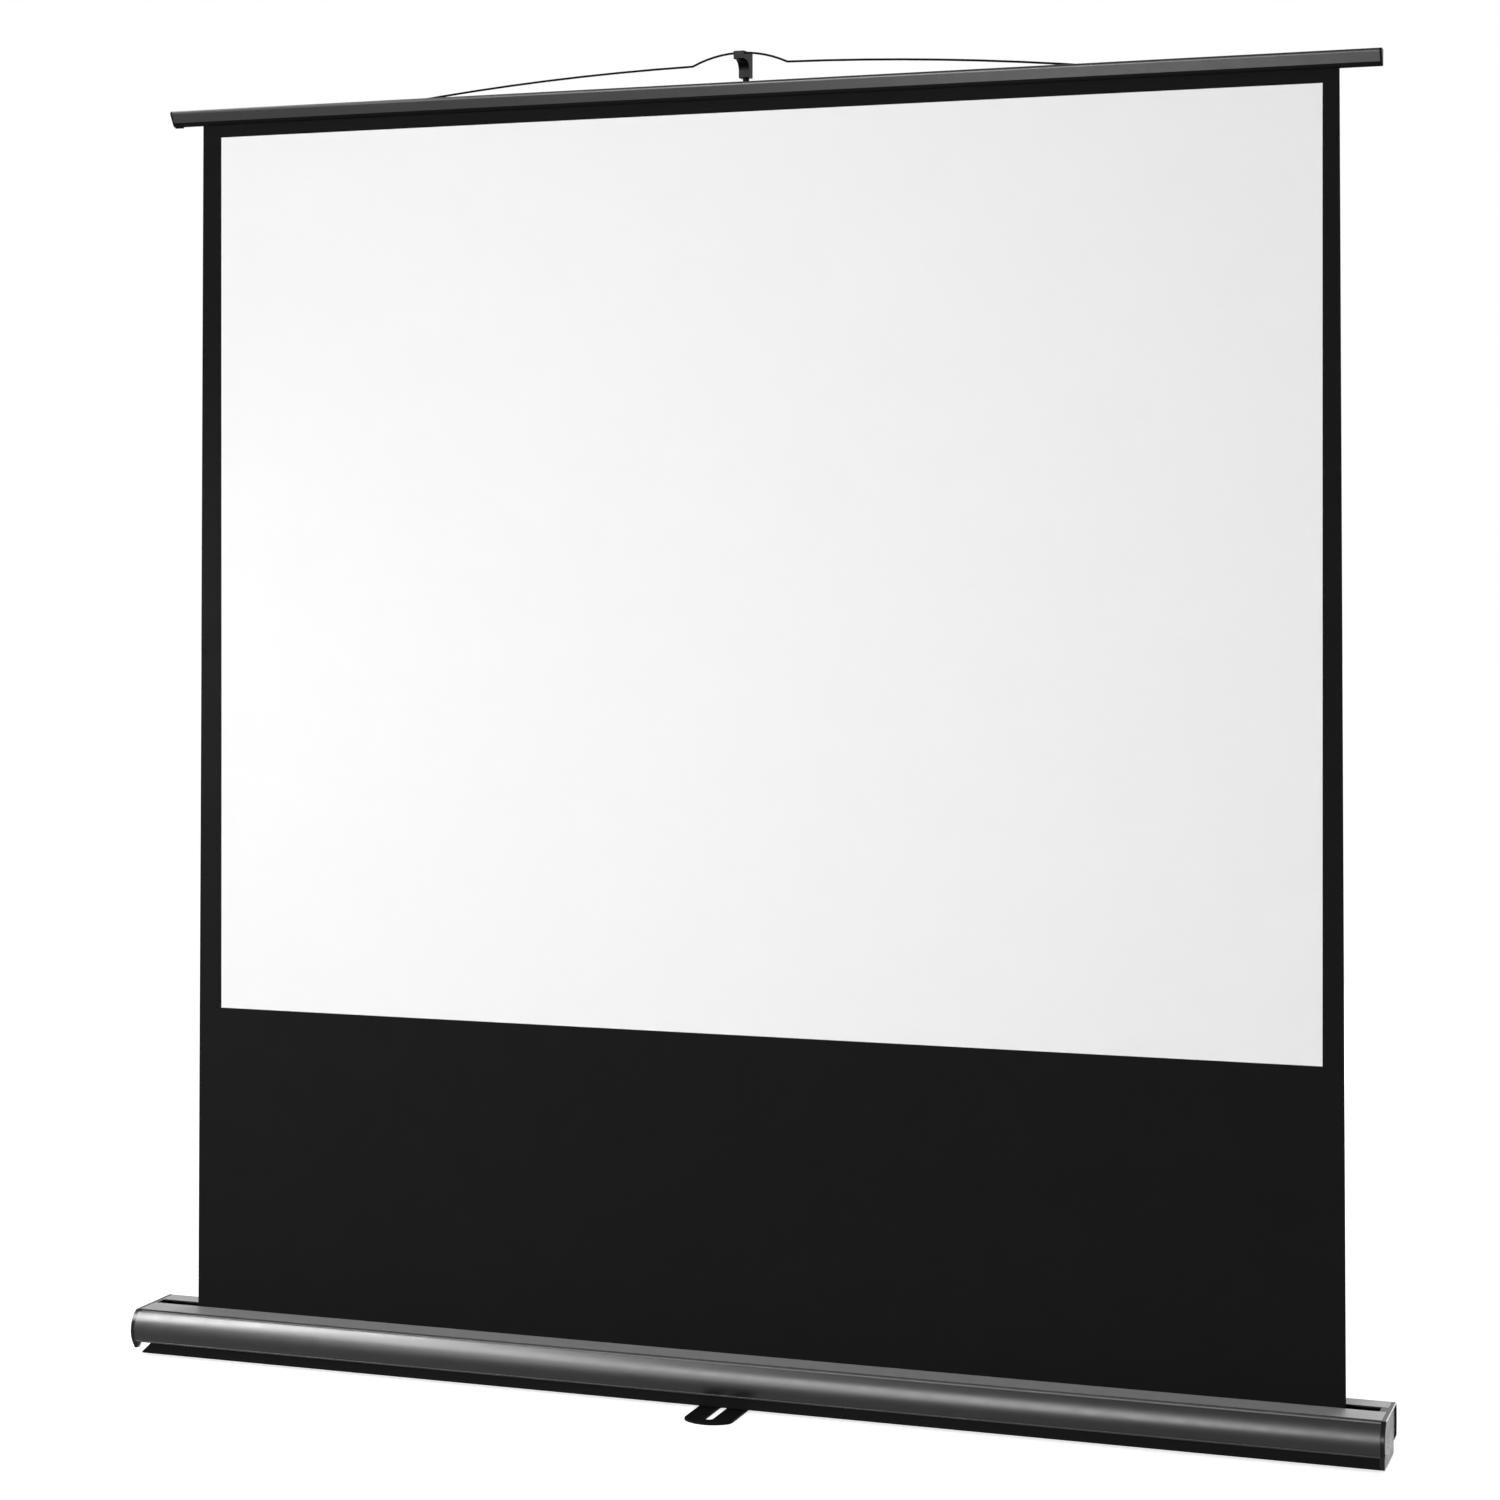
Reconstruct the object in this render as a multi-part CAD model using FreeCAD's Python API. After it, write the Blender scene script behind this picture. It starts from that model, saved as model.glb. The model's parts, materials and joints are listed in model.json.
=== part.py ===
import FreeCAD, Part
import math
import os

# Pull-up projection screen on a floor case, all sizes in millimetres.
# +X runs along the case to the viewer's right, +Y points away from the viewer, +Z is up.
# The origin is on the floor under the middle of the case, below the foot's pivot line.

# Picture cloth
image_width = 1600.0
image_height = 1270.0
side_border = 30.0
cloth_shift = -3.9
cloth_flare = 4.2
top_border = 18.0
black_drop = 438.5
cloth_thick = 0.35
coat_thick = 0.15
screen_x = 13.5
cloth_y = 14.0

# Swivel foot
foot_x = 9.5
foot_length = 232.0
foot_width = 68.0
foot_thick = 3.0
foot_end_rise = 16.0
foot_corner = 16.0
foot_slot_width = 12.0
foot_slot_length = 72.0
foot_slot_inset = 17.0
foot_washer_thick = 1.0
foot_washer_radius = 15.0
foot_rivet_radius = 4.0
foot_rivet_head = 8.0
foot_rivet_head_thick = 2.5
foot_rivet_recess = 0.5
foot_flare_radius = 6.5
foot_flare_height = 1.0

# Base rail
rail_half_depth = 42.0
rail_height = 16.0
rail_wall = 1.5
rail_left_inset = 31.0
rail_slant = 15.0
rail_screw_count = 6
rail_screw_inset = 151.5
rail_screw_offset = 26.0
rail_access_radius = 5.0
rail_plug_depth = 6.0
pad_length = 40.0
pad_front_y = -24.0
pad_rear_y = 39.0

# Case
case_margin = 71.5
case_height = 44.0
case_wall = 2.0
nose_y = -48.0
nose_rise = 18.0
crest_y = -32.0
lip_y = -44.0
lip_reach = 1.6
lip_thick = 1.6
lip_root = 3.0
back_y = 66.0
back_bulge = 2.0
crest_step_height = 2.6
crest_step_inset = 3.0
slot_front_gap = 2.0
slot_width = 22.0
boss_radius = 3.5
boss_bite = 0.5
boss_front_top_y = -27.0
boss_front_bottom_y = -36.0

# End caps
cap_thick = 6.5
cap_rim = 2.2
cap_recess = 2.0
cap_edge = 0.8
cap_line_rises = (7.0, 10.5)
cap_line_width = 0.8
cap_line_depth = 0.5
left_tongue = 10.0
right_tongue = 15.0
tongue_gap = 0.2
nub_width = 13.0
nub_depth = 8.0
nub_drop = 9.0
nub_tip = 4.0
nub_front_y = -40.0
nub_rear_y = 54.0

# Screws
screw_radius = 1.6
screw_head_radius = 3.2
screw_head_thick = 2.0
screw_length = 14.0
screw_gap = 0.05
head_gap = 0.2
head_sink = 0.3

# Roller
roller_radius = 11.0
roller_wall = 1.0
roller_overhang = 13.5
wraps_thick = 0.7
plug_flange = 3.0
plug_depth = 14.0
gudgeon_radius = 3.0
gudgeon_seat = 7.0
shaft_radius = 4.0
shaft_length = 470.0
shaft_flat = 1.0
spring_clear = 0.5
spring_wall = 2.9
spring_end_gap = 12.0
inner_bush_length = 15.0
bracket_thick = 3.0
bracket_hub_radius = 9.0
bracket_hub_length = 6.0
bracket_front = 22.0
bracket_rear = 26.0
bracket_margin = 2.0
run_gap = 0.3
shaft_gap = 0.05

# Top slat
slat_margin = 47.5
slat_height = 22.0
slat_front_reach = 13.0
slat_back_reach = 1.6
slat_face_bottom = 5.5
slat_face_top = 17.0
slat_face_lean = 6.6
slat_top_set = 1.4
slat_wall = 1.5
slat_cap_thick = 3.0
slat_cap_edge = 1.0
slat_tab_length = 12.0
slat_tab_drop = 1.6
slat_tab_front = 1.0
keder_radius = 1.9
keder_rise = 7.5
keder_slot = 1.0

# Wire bail, its points measured from the slat's middle and top
bail_radius = 1.5
bail_kink_x = 69.0
bail_kink_rise = 26.7
bail_bow_x = 270.0
bail_bow_rise = 19.0
bail_end_x = 505.0
bail_end_rise = -2.2
bail_apex_rise = 42.3
bail_bend_radius = 8.0
anchor_width = 18.0
anchor_depth = 7.0
anchor_low = 12.5
anchor_high = 1.6
anchor_screw_drop = 8.0
anchor_screw_length = 11.0
anchor_wire_gap = 0.15

# Hook
hook_width = 15.5
hook_gap = 0.8
hook_lip = 2.0
hook_top_above_wire = 2.6
hook_nose_height = 11.0
hook_nose_depth = 4.0
hook_height = 34.4
hook_neck_front = 8.5
hook_neck_back = 5.6
hook_groove_gap = 0.2
hook_edge = 0.8
spigot_radius = 4.4
spigot_length = 12.0
spigot_seat = 20.0
spigot_share = 1 / 3

# Telescopic mast
mast_overlap = 70.0
lower_radius = 9.0
lower_wall = 1.0
middle_wall = 0.8
top_wall = 1.0
slide_gap = 0.3
pivot_rise = 16.0
knuckle_plug = 18.0
pivot_radius = 3.0
pivot_head_radius = 5.0
pivot_head_thick = 2.0
ear_thick = 2.5
ear_gap = 0.3
ear_half_width = 10.0
bracket_edge = 0.7
bracket_plate = 2.0
bracket_half_length = 34.0
bracket_screw_x = 26.0
bracket_screw_inset = 5.0
bracket_screw_length = 12.0
collar_wall = 4.0
collar_below = 22.0
collar_above = 8.0
collar_edge = 1.0
knob_drop = 8.0
knob_radius = 11.0
knob_length = 14.0
knob_flutes = 8
knob_flute_radius = 2.2
knob_edge = 1.2
stud_radius = 3.0
stud_boss_radius = 6.0
stud_boss_reach = 4.5
bush_length = 5.0
clip_reach = 420.0
clip_width = 16.0
clip_wall = 2.0
clip_gap = 0.4
clip_rise = 6.0

# Carry handle
handle_span = 144.0
handle_bar_radius = 4.0
handle_grip_radius = 7.0
handle_grip_length = 104.0
handle_drop = 26.0
handle_pin_radius = 3.0
handle_pin_length = 9.0
ear_block_width = 12.0
ear_block_height = 24.0
ear_block_reach = 11.0
handle_side_gap = 0.5
handle_screw_offset = 8.5
handle_screw_length = 13.0

# Levels and places that follow from the sizes above
rail_bottom = foot_thick + foot_washer_thick
body_bottom = rail_bottom + rail_height
case_top = body_bottom + case_height
case_middle_z = (body_bottom + case_top) / 2
nose_z = body_bottom + nose_rise
slot_front = cloth_y - slot_front_gap
slot_rear = slot_front + slot_width
cloth_width = image_width + 2 * side_border
cloth_x = screen_x + cloth_shift
cloth_foot_half = cloth_width / 2 + cloth_flare
cloth_head_half = cloth_width / 2 - cloth_flare
case_length = cloth_width + 2 * case_margin
case_end = case_length / 2
shell_end = case_end - cap_thick
rail_screw_pitch = (case_length - 2 * rail_screw_inset) / (rail_screw_count - 1)
slat_length = cloth_width + 2 * slat_margin
image_bottom = case_top + black_drop
slat_bottom = image_bottom + image_height + top_border
slat_top = slat_bottom + slat_height
slat_front = cloth_y - slat_front_reach
slat_back = cloth_y + slat_back_reach
slat_end = slat_length / 2 - slat_cap_thick
roller_y = cloth_y - cloth_thick / 2 - run_gap - wraps_thick - roller_radius
roller_z = case_middle_z
roller_left = screen_x - cloth_width / 2 - roller_overhang
roller_right = screen_x + cloth_width / 2 + roller_overhang
bracket_inner = shell_end - bracket_thick
hub_inner = bracket_inner - bracket_hub_length
keder_y = cloth_y - cloth_thick / 2 - run_gap - keder_radius
keder_z = slat_bottom + keder_rise
middle_radius = lower_radius - lower_wall - slide_gap
top_radius = middle_radius - middle_wall - slide_gap
mast_y = slot_rear + bracket_edge + ear_thick + ear_gap + lower_radius
pivot_z = case_top + pivot_rise
hook_front = slat_back + hook_gap
wire_y = hook_front + hook_lip + hook_groove_gap + bail_radius
wire_apex = slat_top + bail_apex_rise
hook_top = wire_apex + hook_top_above_wire
hook_bottom = hook_top - hook_height
tube_start = pivot_z + lower_radius
tube_finish = hook_bottom - spigot_length
section = (tube_finish - tube_start + 2 * mast_overlap) / 3
lower_end = tube_start + section
middle_start = lower_end - mast_overlap
middle_end = middle_start + section
top_start = middle_end - mast_overlap
handle_y = back_y + ear_block_reach / 2
handle_z = case_middle_z

X = FreeCAD.Vector(1, 0, 0)
Y = FreeCAD.Vector(0, 1, 0)
Z = FreeCAD.Vector(0, 0, 1)


def block(low, high):
    """A box between two corners."""
    size = [b - a for a, b in zip(low, high)]
    return Part.makeBox(*size, FreeCAD.Vector(*low))


def rod(start, axis, radius, length):
    """A solid cylinder."""
    return Part.makeCylinder(radius, length, FreeCAD.Vector(*start), axis)


def pipe(start, axis, outer, inner, length):
    """A straight tube."""
    return rod(start, axis, outer, length).cut(rod(start, axis, inner, length))


def outline(place, start, *steps):
    """A face from a start point and its steps: a point ends a line, a pair of points an arc."""
    edges = []
    here = start
    for step in steps:
        if isinstance(step[0], tuple):
            middle, end = step
            edges.append(Part.Arc(place(here), place(middle), place(end)).toShape())
        else:
            end = step
            edges.append(Part.LineSegment(place(here), place(end)).toShape())
        here = end
    if here != start:
        edges.append(Part.LineSegment(place(here), place(start)).toShape())
    return Part.Face(Part.Wire(edges))


def at_x(x):
    """Places (y, z) points on the plane at x."""
    return lambda point: FreeCAD.Vector(x, point[0], point[1])


def at_y(y):
    """Places (x, z) points on the plane at y."""
    return lambda point: FreeCAD.Vector(point[0], y, point[1])


def at_z(z):
    """Places (x, y) points on the plane at z."""
    return lambda point: FreeCAD.Vector(point[0], point[1], z)


def along_x(edge):
    """True for a straight edge that runs along X."""
    ends = [vertex.Point for vertex in edge.Vertexes]
    if len(ends) != 2:
        return False
    return abs(abs((ends[1] - ends[0]).normalize().x) - 1) < 1e-6


def upright(edge):
    """True for a straight edge that runs along Z."""
    ends = [vertex.Point for vertex in edge.Vertexes]
    if len(ends) != 2:
        return False
    return abs(abs((ends[1] - ends[0]).normalize().z) - 1) < 1e-6


def screw(head_end, inward, length, radius=screw_radius, head=screw_head_radius):
    """A pan-head screw whose head starts at head_end and points inward."""
    start = FreeCAD.Vector(*head_end)
    body = Part.makeCylinder(head, screw_head_thick, start, inward)
    shank_start = start + inward * screw_head_thick
    return body.fuse(Part.makeCylinder(radius, length, shank_start, inward))


# Case shell, rail and end caps

def case_section(x, inset=0.0):
    """The case's outline across its length, drawn in by the inset."""
    top = case_top - inset
    bottom = body_bottom + inset
    back = back_y - inset
    back_edge = back - back_bulge
    nose = (nose_y + inset, nose_z)
    lip = (lip_y + inset, bottom)
    crest = (crest_y + inset / 2, top)
    bulge = (back, case_middle_z)
    return outline(at_x(x), lip, (back_edge, bottom), (bulge, (back_edge, top)), crest, (nose, lip))


def boss_places():
    """Centres (y, z) of the screw bosses inside the case."""
    reach = case_wall + boss_radius - boss_bite
    low = body_bottom + reach
    high = case_top - reach
    rear = back_y - back_bulge - reach
    return [(boss_front_bottom_y, low), (boss_front_top_y, high), (rear, low), (rear, high)]


def rail_screw_places():
    """Places (x, y) of the screws that hold the rail to the case."""
    places = []
    for index in range(rail_screw_count):
        x = (index - (rail_screw_count - 1) / 2) * rail_screw_pitch
        side = 1 if index % 2 else -1
        places.append((x, side * rail_screw_offset))
    return places


def bracket_screw_places():
    """Places (x, y) of the screws in the mast bracket's plate."""
    front, rear = bracket_plate_span()
    rows = (front + bracket_screw_inset, rear - bracket_screw_inset)
    return [(screen_x + side * bracket_screw_x, y) for side in (-1, 1) for y in rows]


def handle_ear_x():
    """Middle of each handle ear along X."""
    return [screen_x + side * handle_span / 2 for side in (-1, 1)]


def handle_screw_places():
    """Places (x, z) of the screws in the handle ears."""
    return [(x, handle_z + side * handle_screw_offset) for x in handle_ear_x() for side in (-1, 1)]


def case_shell():
    """The hollow extrusion with its slot, stepped crest, front lip, screw bosses and screw holes."""
    length = 2 * shell_end
    shell = case_section(-shell_end).extrude(X * length)
    lip_low = (-shell_end, lip_y - lip_reach, body_bottom)
    lip_high = (shell_end, lip_y + lip_root, body_bottom + lip_thick)
    shell = shell.fuse(block(lip_low, lip_high))
    shell = shell.cut(case_section(-shell_end, case_wall).extrude(X * length))
    for y, z in boss_places():
        shell = shell.fuse(rod((-shell_end, y, z), X, boss_radius, length))
    step_y = crest_y + crest_step_inset
    shelf_z = case_top - crest_step_height
    rim = block((-shell_end, nose_y, shelf_z - case_wall), (shell_end, step_y + case_wall, case_top))
    shell = shell.fuse(case_section(-shell_end).extrude(X * length).common(rim))
    shell = shell.cut(block((-shell_end, nose_y, shelf_z), (shell_end, step_y, case_top)))
    for y, z in boss_places():
        shell = shell.cut(rod((-shell_end, y, z), X, screw_radius + screw_gap, length))
    slot_low = (-shell_end, slot_front, case_top - 2 * case_wall)
    slot_high = (shell_end, slot_rear, case_top)
    shell = shell.cut(block(slot_low, slot_high))
    hole = screw_radius + screw_gap
    for x, y in rail_screw_places():
        shell = shell.cut(rod((x, y, body_bottom), Z, hole, case_wall))
    for x, y in bracket_screw_places():
        shell = shell.cut(rod((x, y, case_top - case_wall), Z, hole, case_wall))
    back_inside = back_y - back_bulge - 2 * case_wall
    for x, z in handle_screw_places():
        shell = shell.cut(rod((x, back_inside, z), Y, hole, back_y - back_inside))
    return shell.removeSplitter()


def base_rail():
    """The box rail under the case, slanted at its left end, with a hole for the foot and access to its screws."""
    left = -case_end + rail_left_inset
    tip = left - rail_slant
    rail = block((tip, -rail_half_depth, rail_bottom), (shell_end, rail_half_depth, body_bottom))
    hollow_low = (tip, -rail_half_depth + rail_wall, rail_bottom + rail_wall)
    hollow_high = (shell_end, rail_half_depth - rail_wall, body_bottom - rail_wall)
    rail = rail.cut(block(hollow_low, hollow_high))
    corners = ((tip, rail_bottom + rail_wall), (left, body_bottom), (tip, body_bottom))
    rail = rail.cut(outline(at_y(-rail_half_depth), *corners).extrude(Y * 2 * rail_half_depth))
    for x, y in rail_screw_places():
        rail = rail.cut(rod((x, y, rail_bottom), Z, rail_access_radius, rail_wall))
        rail = rail.cut(rod((x, y, body_bottom - rail_wall), Z, screw_radius + screw_gap, rail_wall))
    return rail.cut(rod((foot_x, 0, rail_bottom), Z, foot_rivet_radius + shaft_gap, rail_wall))


def rail_end_plugs():
    """The plugs that close both ends of the rail."""
    plugs = []
    for start in (-case_end + rail_left_inset, shell_end - rail_plug_depth):
        low = (start, -rail_half_depth + rail_wall, rail_bottom + rail_wall)
        high = (start + rail_plug_depth, rail_half_depth - rail_wall, body_bottom - rail_wall)
        plugs.append(block(low, high))
    return Part.makeCompound(plugs)


def rail_screws():
    """The screws that hold the rail up against the case."""
    head_z = body_bottom - rail_wall - screw_head_thick
    length = rail_wall + 2 * case_wall
    return Part.makeCompound([screw((x, y, head_z), Z, length) for x, y in rail_screw_places()])


def end_cap(side, tongue):
    """A closing cap with a recessed panel in a raised rim and a slot tongue; side is -1 left or 1 right.

    The left one has two hooked nubs below it, and the right one has a skirt over the rail's end.
    """
    outward = X * side
    panel_x = case_end - cap_recess
    cap = case_section(side * shell_end).extrude(outward * cap_thick)
    rim = [edge for edge in cap.Edges if abs(edge.CenterOfMass.x - side * case_end) < cap_recess / 2]
    cap = cap.makeChamfer(cap_edge, rim)
    cap = cap.cut(case_section(side * panel_x, cap_rim).extrude(outward * cap_recess))
    groove_x = panel_x - cap_line_depth
    floor = case_section(side * groove_x, cap_rim).extrude(outward * cap_line_depth)
    line_x = sorted((side * groove_x, side * panel_x))
    for rise in cap_line_rises:
        line_low = (line_x[0], nose_y, body_bottom + rise)
        line_high = (line_x[1], back_y, body_bottom + rise + cap_line_width)
        cap = cap.cut(floor.common(block(line_low, line_high)))
    tongue_x = sorted((side * (case_end - tongue), side * shell_end))
    tongue_low = (tongue_x[0], slot_front + tongue_gap, case_top - case_wall)
    tongue_high = (tongue_x[1], slot_rear - tongue_gap, case_top)
    cap = cap.fuse(block(tongue_low, tongue_high))
    if side < 0:
        for y in (nub_front_y, nub_rear_y):
            cap = cap.fuse(cap_nub(y))
    else:
        skirt_low = (shell_end, -rail_half_depth, rail_bottom)
        skirt_high = (case_end - cap_edge, rail_half_depth, body_bottom + cap_rim)
        cap = cap.fuse(block(skirt_low, skirt_high))
    sink = head_sink + screw_head_thick
    for y, z in boss_places():
        head = (side * (panel_x - sink), y, z)
        cap = cap.cut(rod(head, outward, screw_head_radius + head_gap, sink + cap_recess))
        cap = cap.cut(rod((side * shell_end, y, z), outward, screw_radius + screw_gap, cap_thick))
    return cap.removeSplitter()


def cap_nub(y):
    """A hooked nub under the left end cap, in the middle of its depth at y."""
    outer = -case_end + cap_edge
    inner = -case_end + nub_width
    tip_z = body_bottom - nub_drop
    face = outline(
        at_y(y - nub_depth / 2),
        (outer, body_bottom),
        (outer + nub_tip, tip_z),
        (outer + 2 * nub_tip, tip_z),
        (inner, body_bottom),
    )
    root_low = (outer, y - nub_depth / 2, body_bottom)
    root_high = (-shell_end, y + nub_depth / 2, body_bottom + cap_rim)
    return face.extrude(Y * nub_depth).fuse(block(root_low, root_high))


def end_cap_screws():
    """The screws through both end caps into the case's bosses."""
    screws = []
    for side in (-1, 1):
        for y, z in boss_places():
            head_end = (side * (case_end - cap_recess - head_sink), y, z)
            screws.append(screw(head_end, X * -side, screw_length))
    return Part.makeCompound(screws)


def foot_pads():
    """Rubber strips under both ends of the rail."""
    pads = []
    for start in (-case_end + rail_left_inset, shell_end - pad_length):
        pads.append(block((start, pad_front_y, 0), (start + pad_length, pad_rear_y, rail_bottom)))
    return Part.makeCompound(pads)


# Swivel foot and its pivot

def swivel_foot():
    """The flat bar under the case, with bowed ends, a slot in each half and a pivot hole."""
    half_w = foot_width / 2
    half_l = foot_length / 2
    shoulder = half_l - foot_end_rise
    corners = [(foot_x + sx * half_w, sy * shoulder) for sx, sy in ((-1, -1), (1, -1), (1, 1), (-1, 1))]
    front_tip = (foot_x, -half_l)
    rear_tip = (foot_x, half_l)
    front_end = (front_tip, corners[1])
    rear_end = (rear_tip, corners[3])
    face = outline(at_z(0), corners[0], front_end, corners[2], rear_end, corners[0])
    bar = face.extrude(Z * foot_thick)
    bar = bar.makeFillet(foot_corner, [edge for edge in bar.Edges if upright(edge)])
    slot_end = half_l - foot_slot_inset
    for side in (-1, 1):
        ends = sorted((side * slot_end, side * (slot_end - foot_slot_length)))
        half = foot_slot_width / 2
        slot = block((foot_x - half, ends[0] + half, 0), (foot_x + half, ends[1] - half, foot_thick))
        for y in (ends[0] + half, ends[1] - half):
            slot = slot.fuse(rod((foot_x, y, 0), Z, half, foot_thick))
        bar = bar.cut(slot)
    bar = bar.cut(rod((foot_x, 0, 0), Z, foot_rivet_radius + shaft_gap, foot_thick))
    recess = foot_rivet_recess + foot_flare_height + run_gap
    return bar.cut(rod((foot_x, 0, 0), Z, foot_flare_radius + run_gap, recess))


def foot_rivet():
    """The rivet that holds the foot under the rail, its head inside the rail."""
    web = rail_bottom + rail_wall
    rivet = rod((foot_x, 0, foot_rivet_recess), Z, foot_rivet_radius, web - foot_rivet_recess)
    rivet = rivet.fuse(rod((foot_x, 0, web), Z, foot_rivet_head, foot_rivet_head_thick))
    return rivet.fuse(rod((foot_x, 0, foot_rivet_recess), Z, foot_flare_radius, foot_flare_height))


def foot_washer():
    """The washer between the foot and the rail."""
    bore = foot_rivet_radius + shaft_gap
    return pipe((foot_x, 0, foot_thick), Z, foot_washer_radius, bore, foot_washer_thick)


# Roller inside the case

def roller_bracket(side):
    """A plate on the end cap's inner face that carries one end of the roller."""
    ends = sorted((side * shell_end, side * bracket_inner))
    low_z = body_bottom + case_wall + bracket_margin
    high_z = case_top - case_wall - bracket_margin
    plate = block((ends[0], roller_y - bracket_front, low_z), (ends[1], roller_y + bracket_rear, high_z))
    hub = rod((side * bracket_inner, roller_y, roller_z), X * -side, bracket_hub_radius, bracket_hub_length)
    return plate.fuse(hub)


def roller_bracket_right():
    """The plain bracket, bored for the roller's gudgeon."""
    bore = rod((hub_inner, roller_y, roller_z), X, gudgeon_radius + shaft_gap, gudgeon_seat)
    return roller_bracket(1).cut(bore)


def shaft_bar(radius, length):
    """A bar along the roller's axis from the left bracket, with a flat on its top."""
    start = -shell_end
    bar = rod((start, roller_y, roller_z), X, radius, length)
    flat_z = roller_z + radius - shaft_flat
    flat_end = -hub_inner
    return bar.cut(block((start, roller_y - radius, flat_z), (flat_end, roller_y + radius, flat_z + radius)))


def roller_bracket_left():
    """The bracket that keeps the spring shaft from turning."""
    return roller_bracket(-1).cut(shaft_bar(shaft_radius, shaft_length))


def spring_shaft():
    """The dead shaft that the roller's spring winds against."""
    return shaft_bar(shaft_radius, shaft_length)


def inner_bush_start():
    """Left face of the bush near the shaft's inner end."""
    return -shell_end + shaft_length - inner_bush_length


def roller_spring():
    """The close-wound torsion spring around the shaft, as a plain sleeve."""
    start = roller_left + plug_depth + spring_end_gap
    length = inner_bush_start() - spring_end_gap - start
    inner = shaft_radius + spring_clear
    return pipe((start, roller_y, roller_z), X, inner + spring_wall, inner, length)


def roller_tube():
    """The tube that the cloth winds on."""
    length = roller_right - roller_left
    return pipe((roller_left, roller_y, roller_z), X, roller_radius, roller_radius - roller_wall, length)


def roller_plug(start, side):
    """A plug with a flange at one end of the roller tube."""
    plug = rod((start, roller_y, roller_z), X * -side, roller_radius - roller_wall, plug_depth)
    return plug.fuse(rod((start, roller_y, roller_z), X * side, roller_radius, plug_flange))


def roller_end_plug():
    """The right plug with the gudgeon that turns in the bracket."""
    plug = roller_plug(roller_right, 1)
    length = hub_inner + gudgeon_seat - shaft_gap - roller_right
    return plug.fuse(rod((roller_right, roller_y, roller_z), X, gudgeon_radius, length))


def roller_spring_plug():
    """The left plug, bored to turn on the spring shaft."""
    bore_length = plug_depth + plug_flange
    start = roller_left - plug_flange
    plug = roller_plug(roller_left, -1)
    return plug.cut(rod((start, roller_y, roller_z), X, shaft_radius + shaft_gap, bore_length))


def roller_inner_bush():
    """The bush inside the tube that rides on the shaft's inner end."""
    start = (inner_bush_start(), roller_y, roller_z)
    return pipe(start, X, roller_radius - roller_wall, shaft_radius + shaft_gap, inner_bush_length)


def cloth_wraps():
    """The turns of cloth that stay on the roller when the screen is up."""
    start = (cloth_x - cloth_foot_half, roller_y, roller_z)
    return pipe(start, X, roller_radius + wraps_thick, roller_radius, 2 * cloth_foot_half)


# Cloth and slat

def screen_cloth():
    """The flat black cloth from the roller up to the slat, a little wider at its foot."""
    foot_left = (cloth_x - cloth_foot_half, roller_z)
    foot_right = (cloth_x + cloth_foot_half, roller_z)
    head_left = (cloth_x - cloth_head_half, keder_z)
    head_right = (cloth_x + cloth_head_half, keder_z)
    face = outline(at_y(cloth_y - cloth_thick / 2), foot_left, foot_right, head_right, head_left)
    return face.extrude(Y * cloth_thick)


def image_surface():
    """The white coating on the front of the cloth."""
    half = image_width / 2
    front = cloth_y - cloth_thick / 2
    low = (screen_x - half, front - coat_thick, image_bottom)
    high = (screen_x + half, front, image_bottom + image_height)
    return block(low, high)


def slat_section(x, inset=0.0):
    """The slat's outline: an upright brow over a face that leans back to the cloth below."""
    low = slat_bottom + inset
    high = slat_top - inset
    front = slat_front + inset
    back = slat_back - inset
    foot = (cloth_y - slat_wall, low)
    chin = (front + slat_face_lean, slat_bottom + slat_face_bottom)
    brow = (front, slat_bottom + slat_face_top)
    crown = (front + slat_top_set, high)
    under = ((chin[0] + foot[0]) / 2 - slat_wall / 4, (chin[1] + low) / 2 - slat_wall / 4)
    over = ((brow[0] + crown[0]) / 2 - slat_wall / 2, (brow[1] + high) / 2 + slat_wall / 2)
    return outline(at_x(x), foot, (under, chin), brow, (over, crown), (back, high), (back, low))


def top_slat():
    """The slat extrusion with the keder's channel and a hollow above it."""
    length = 2 * slat_end
    start = screen_x - slat_end
    slat = slat_section(start).extrude(X * length)
    chamber = keder_radius + run_gap + cloth_thick
    slat = slat.cut(rod((start, keder_y, keder_z), X, chamber, length))
    half = keder_slot / 2
    slat = slat.cut(block((start, cloth_y - half, slat_bottom), (start + length, cloth_y + half, keder_z)))
    hollow_low = (start, slat_front + 4 * slat_wall, keder_z + chamber + slat_wall)
    hollow_high = (start + length, slat_back - slat_wall, slat_top - 2 * slat_wall)
    slat = slat.cut(block(hollow_low, hollow_high))
    for x, z in anchor_screw_places():
        depth = slat_wall
        slat = slat.cut(rod((x, slat_back - depth, z), Y, screw_radius + screw_gap, depth))
    return slat


def slat_cap(side):
    """The moulded cap on one end of the slat; the left one has a tab under the slat's mouth."""
    start = screen_x + side * slat_end
    cap = slat_section(start).extrude(X * side * slat_cap_thick)
    far = [edge for edge in cap.Edges if abs(edge.BoundBox.XMin - edge.BoundBox.XMax) < 1e-6]
    far = [edge for edge in far if abs(edge.BoundBox.XMin - start) > slat_cap_thick / 2]
    cap = cap.makeChamfer(slat_cap_edge / 2, far)
    if side > 0:
        return cap
    tab_low = (start - slat_cap_edge, cloth_y - slat_tab_front, slat_bottom - slat_tab_drop)
    tab_high = (start + slat_tab_length, slat_back, slat_bottom)
    root_high = (start, slat_back, slat_bottom + slat_tab_drop)
    return cap.fuse(block(tab_low, tab_high)).fuse(block(tab_low, root_high))


def cloth_keder():
    """The rod in the cloth's top hem, held in the slat's channel."""
    start = (cloth_x - cloth_head_half, keder_y, keder_z)
    return rod(start, X, keder_radius, 2 * cloth_head_half)


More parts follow.
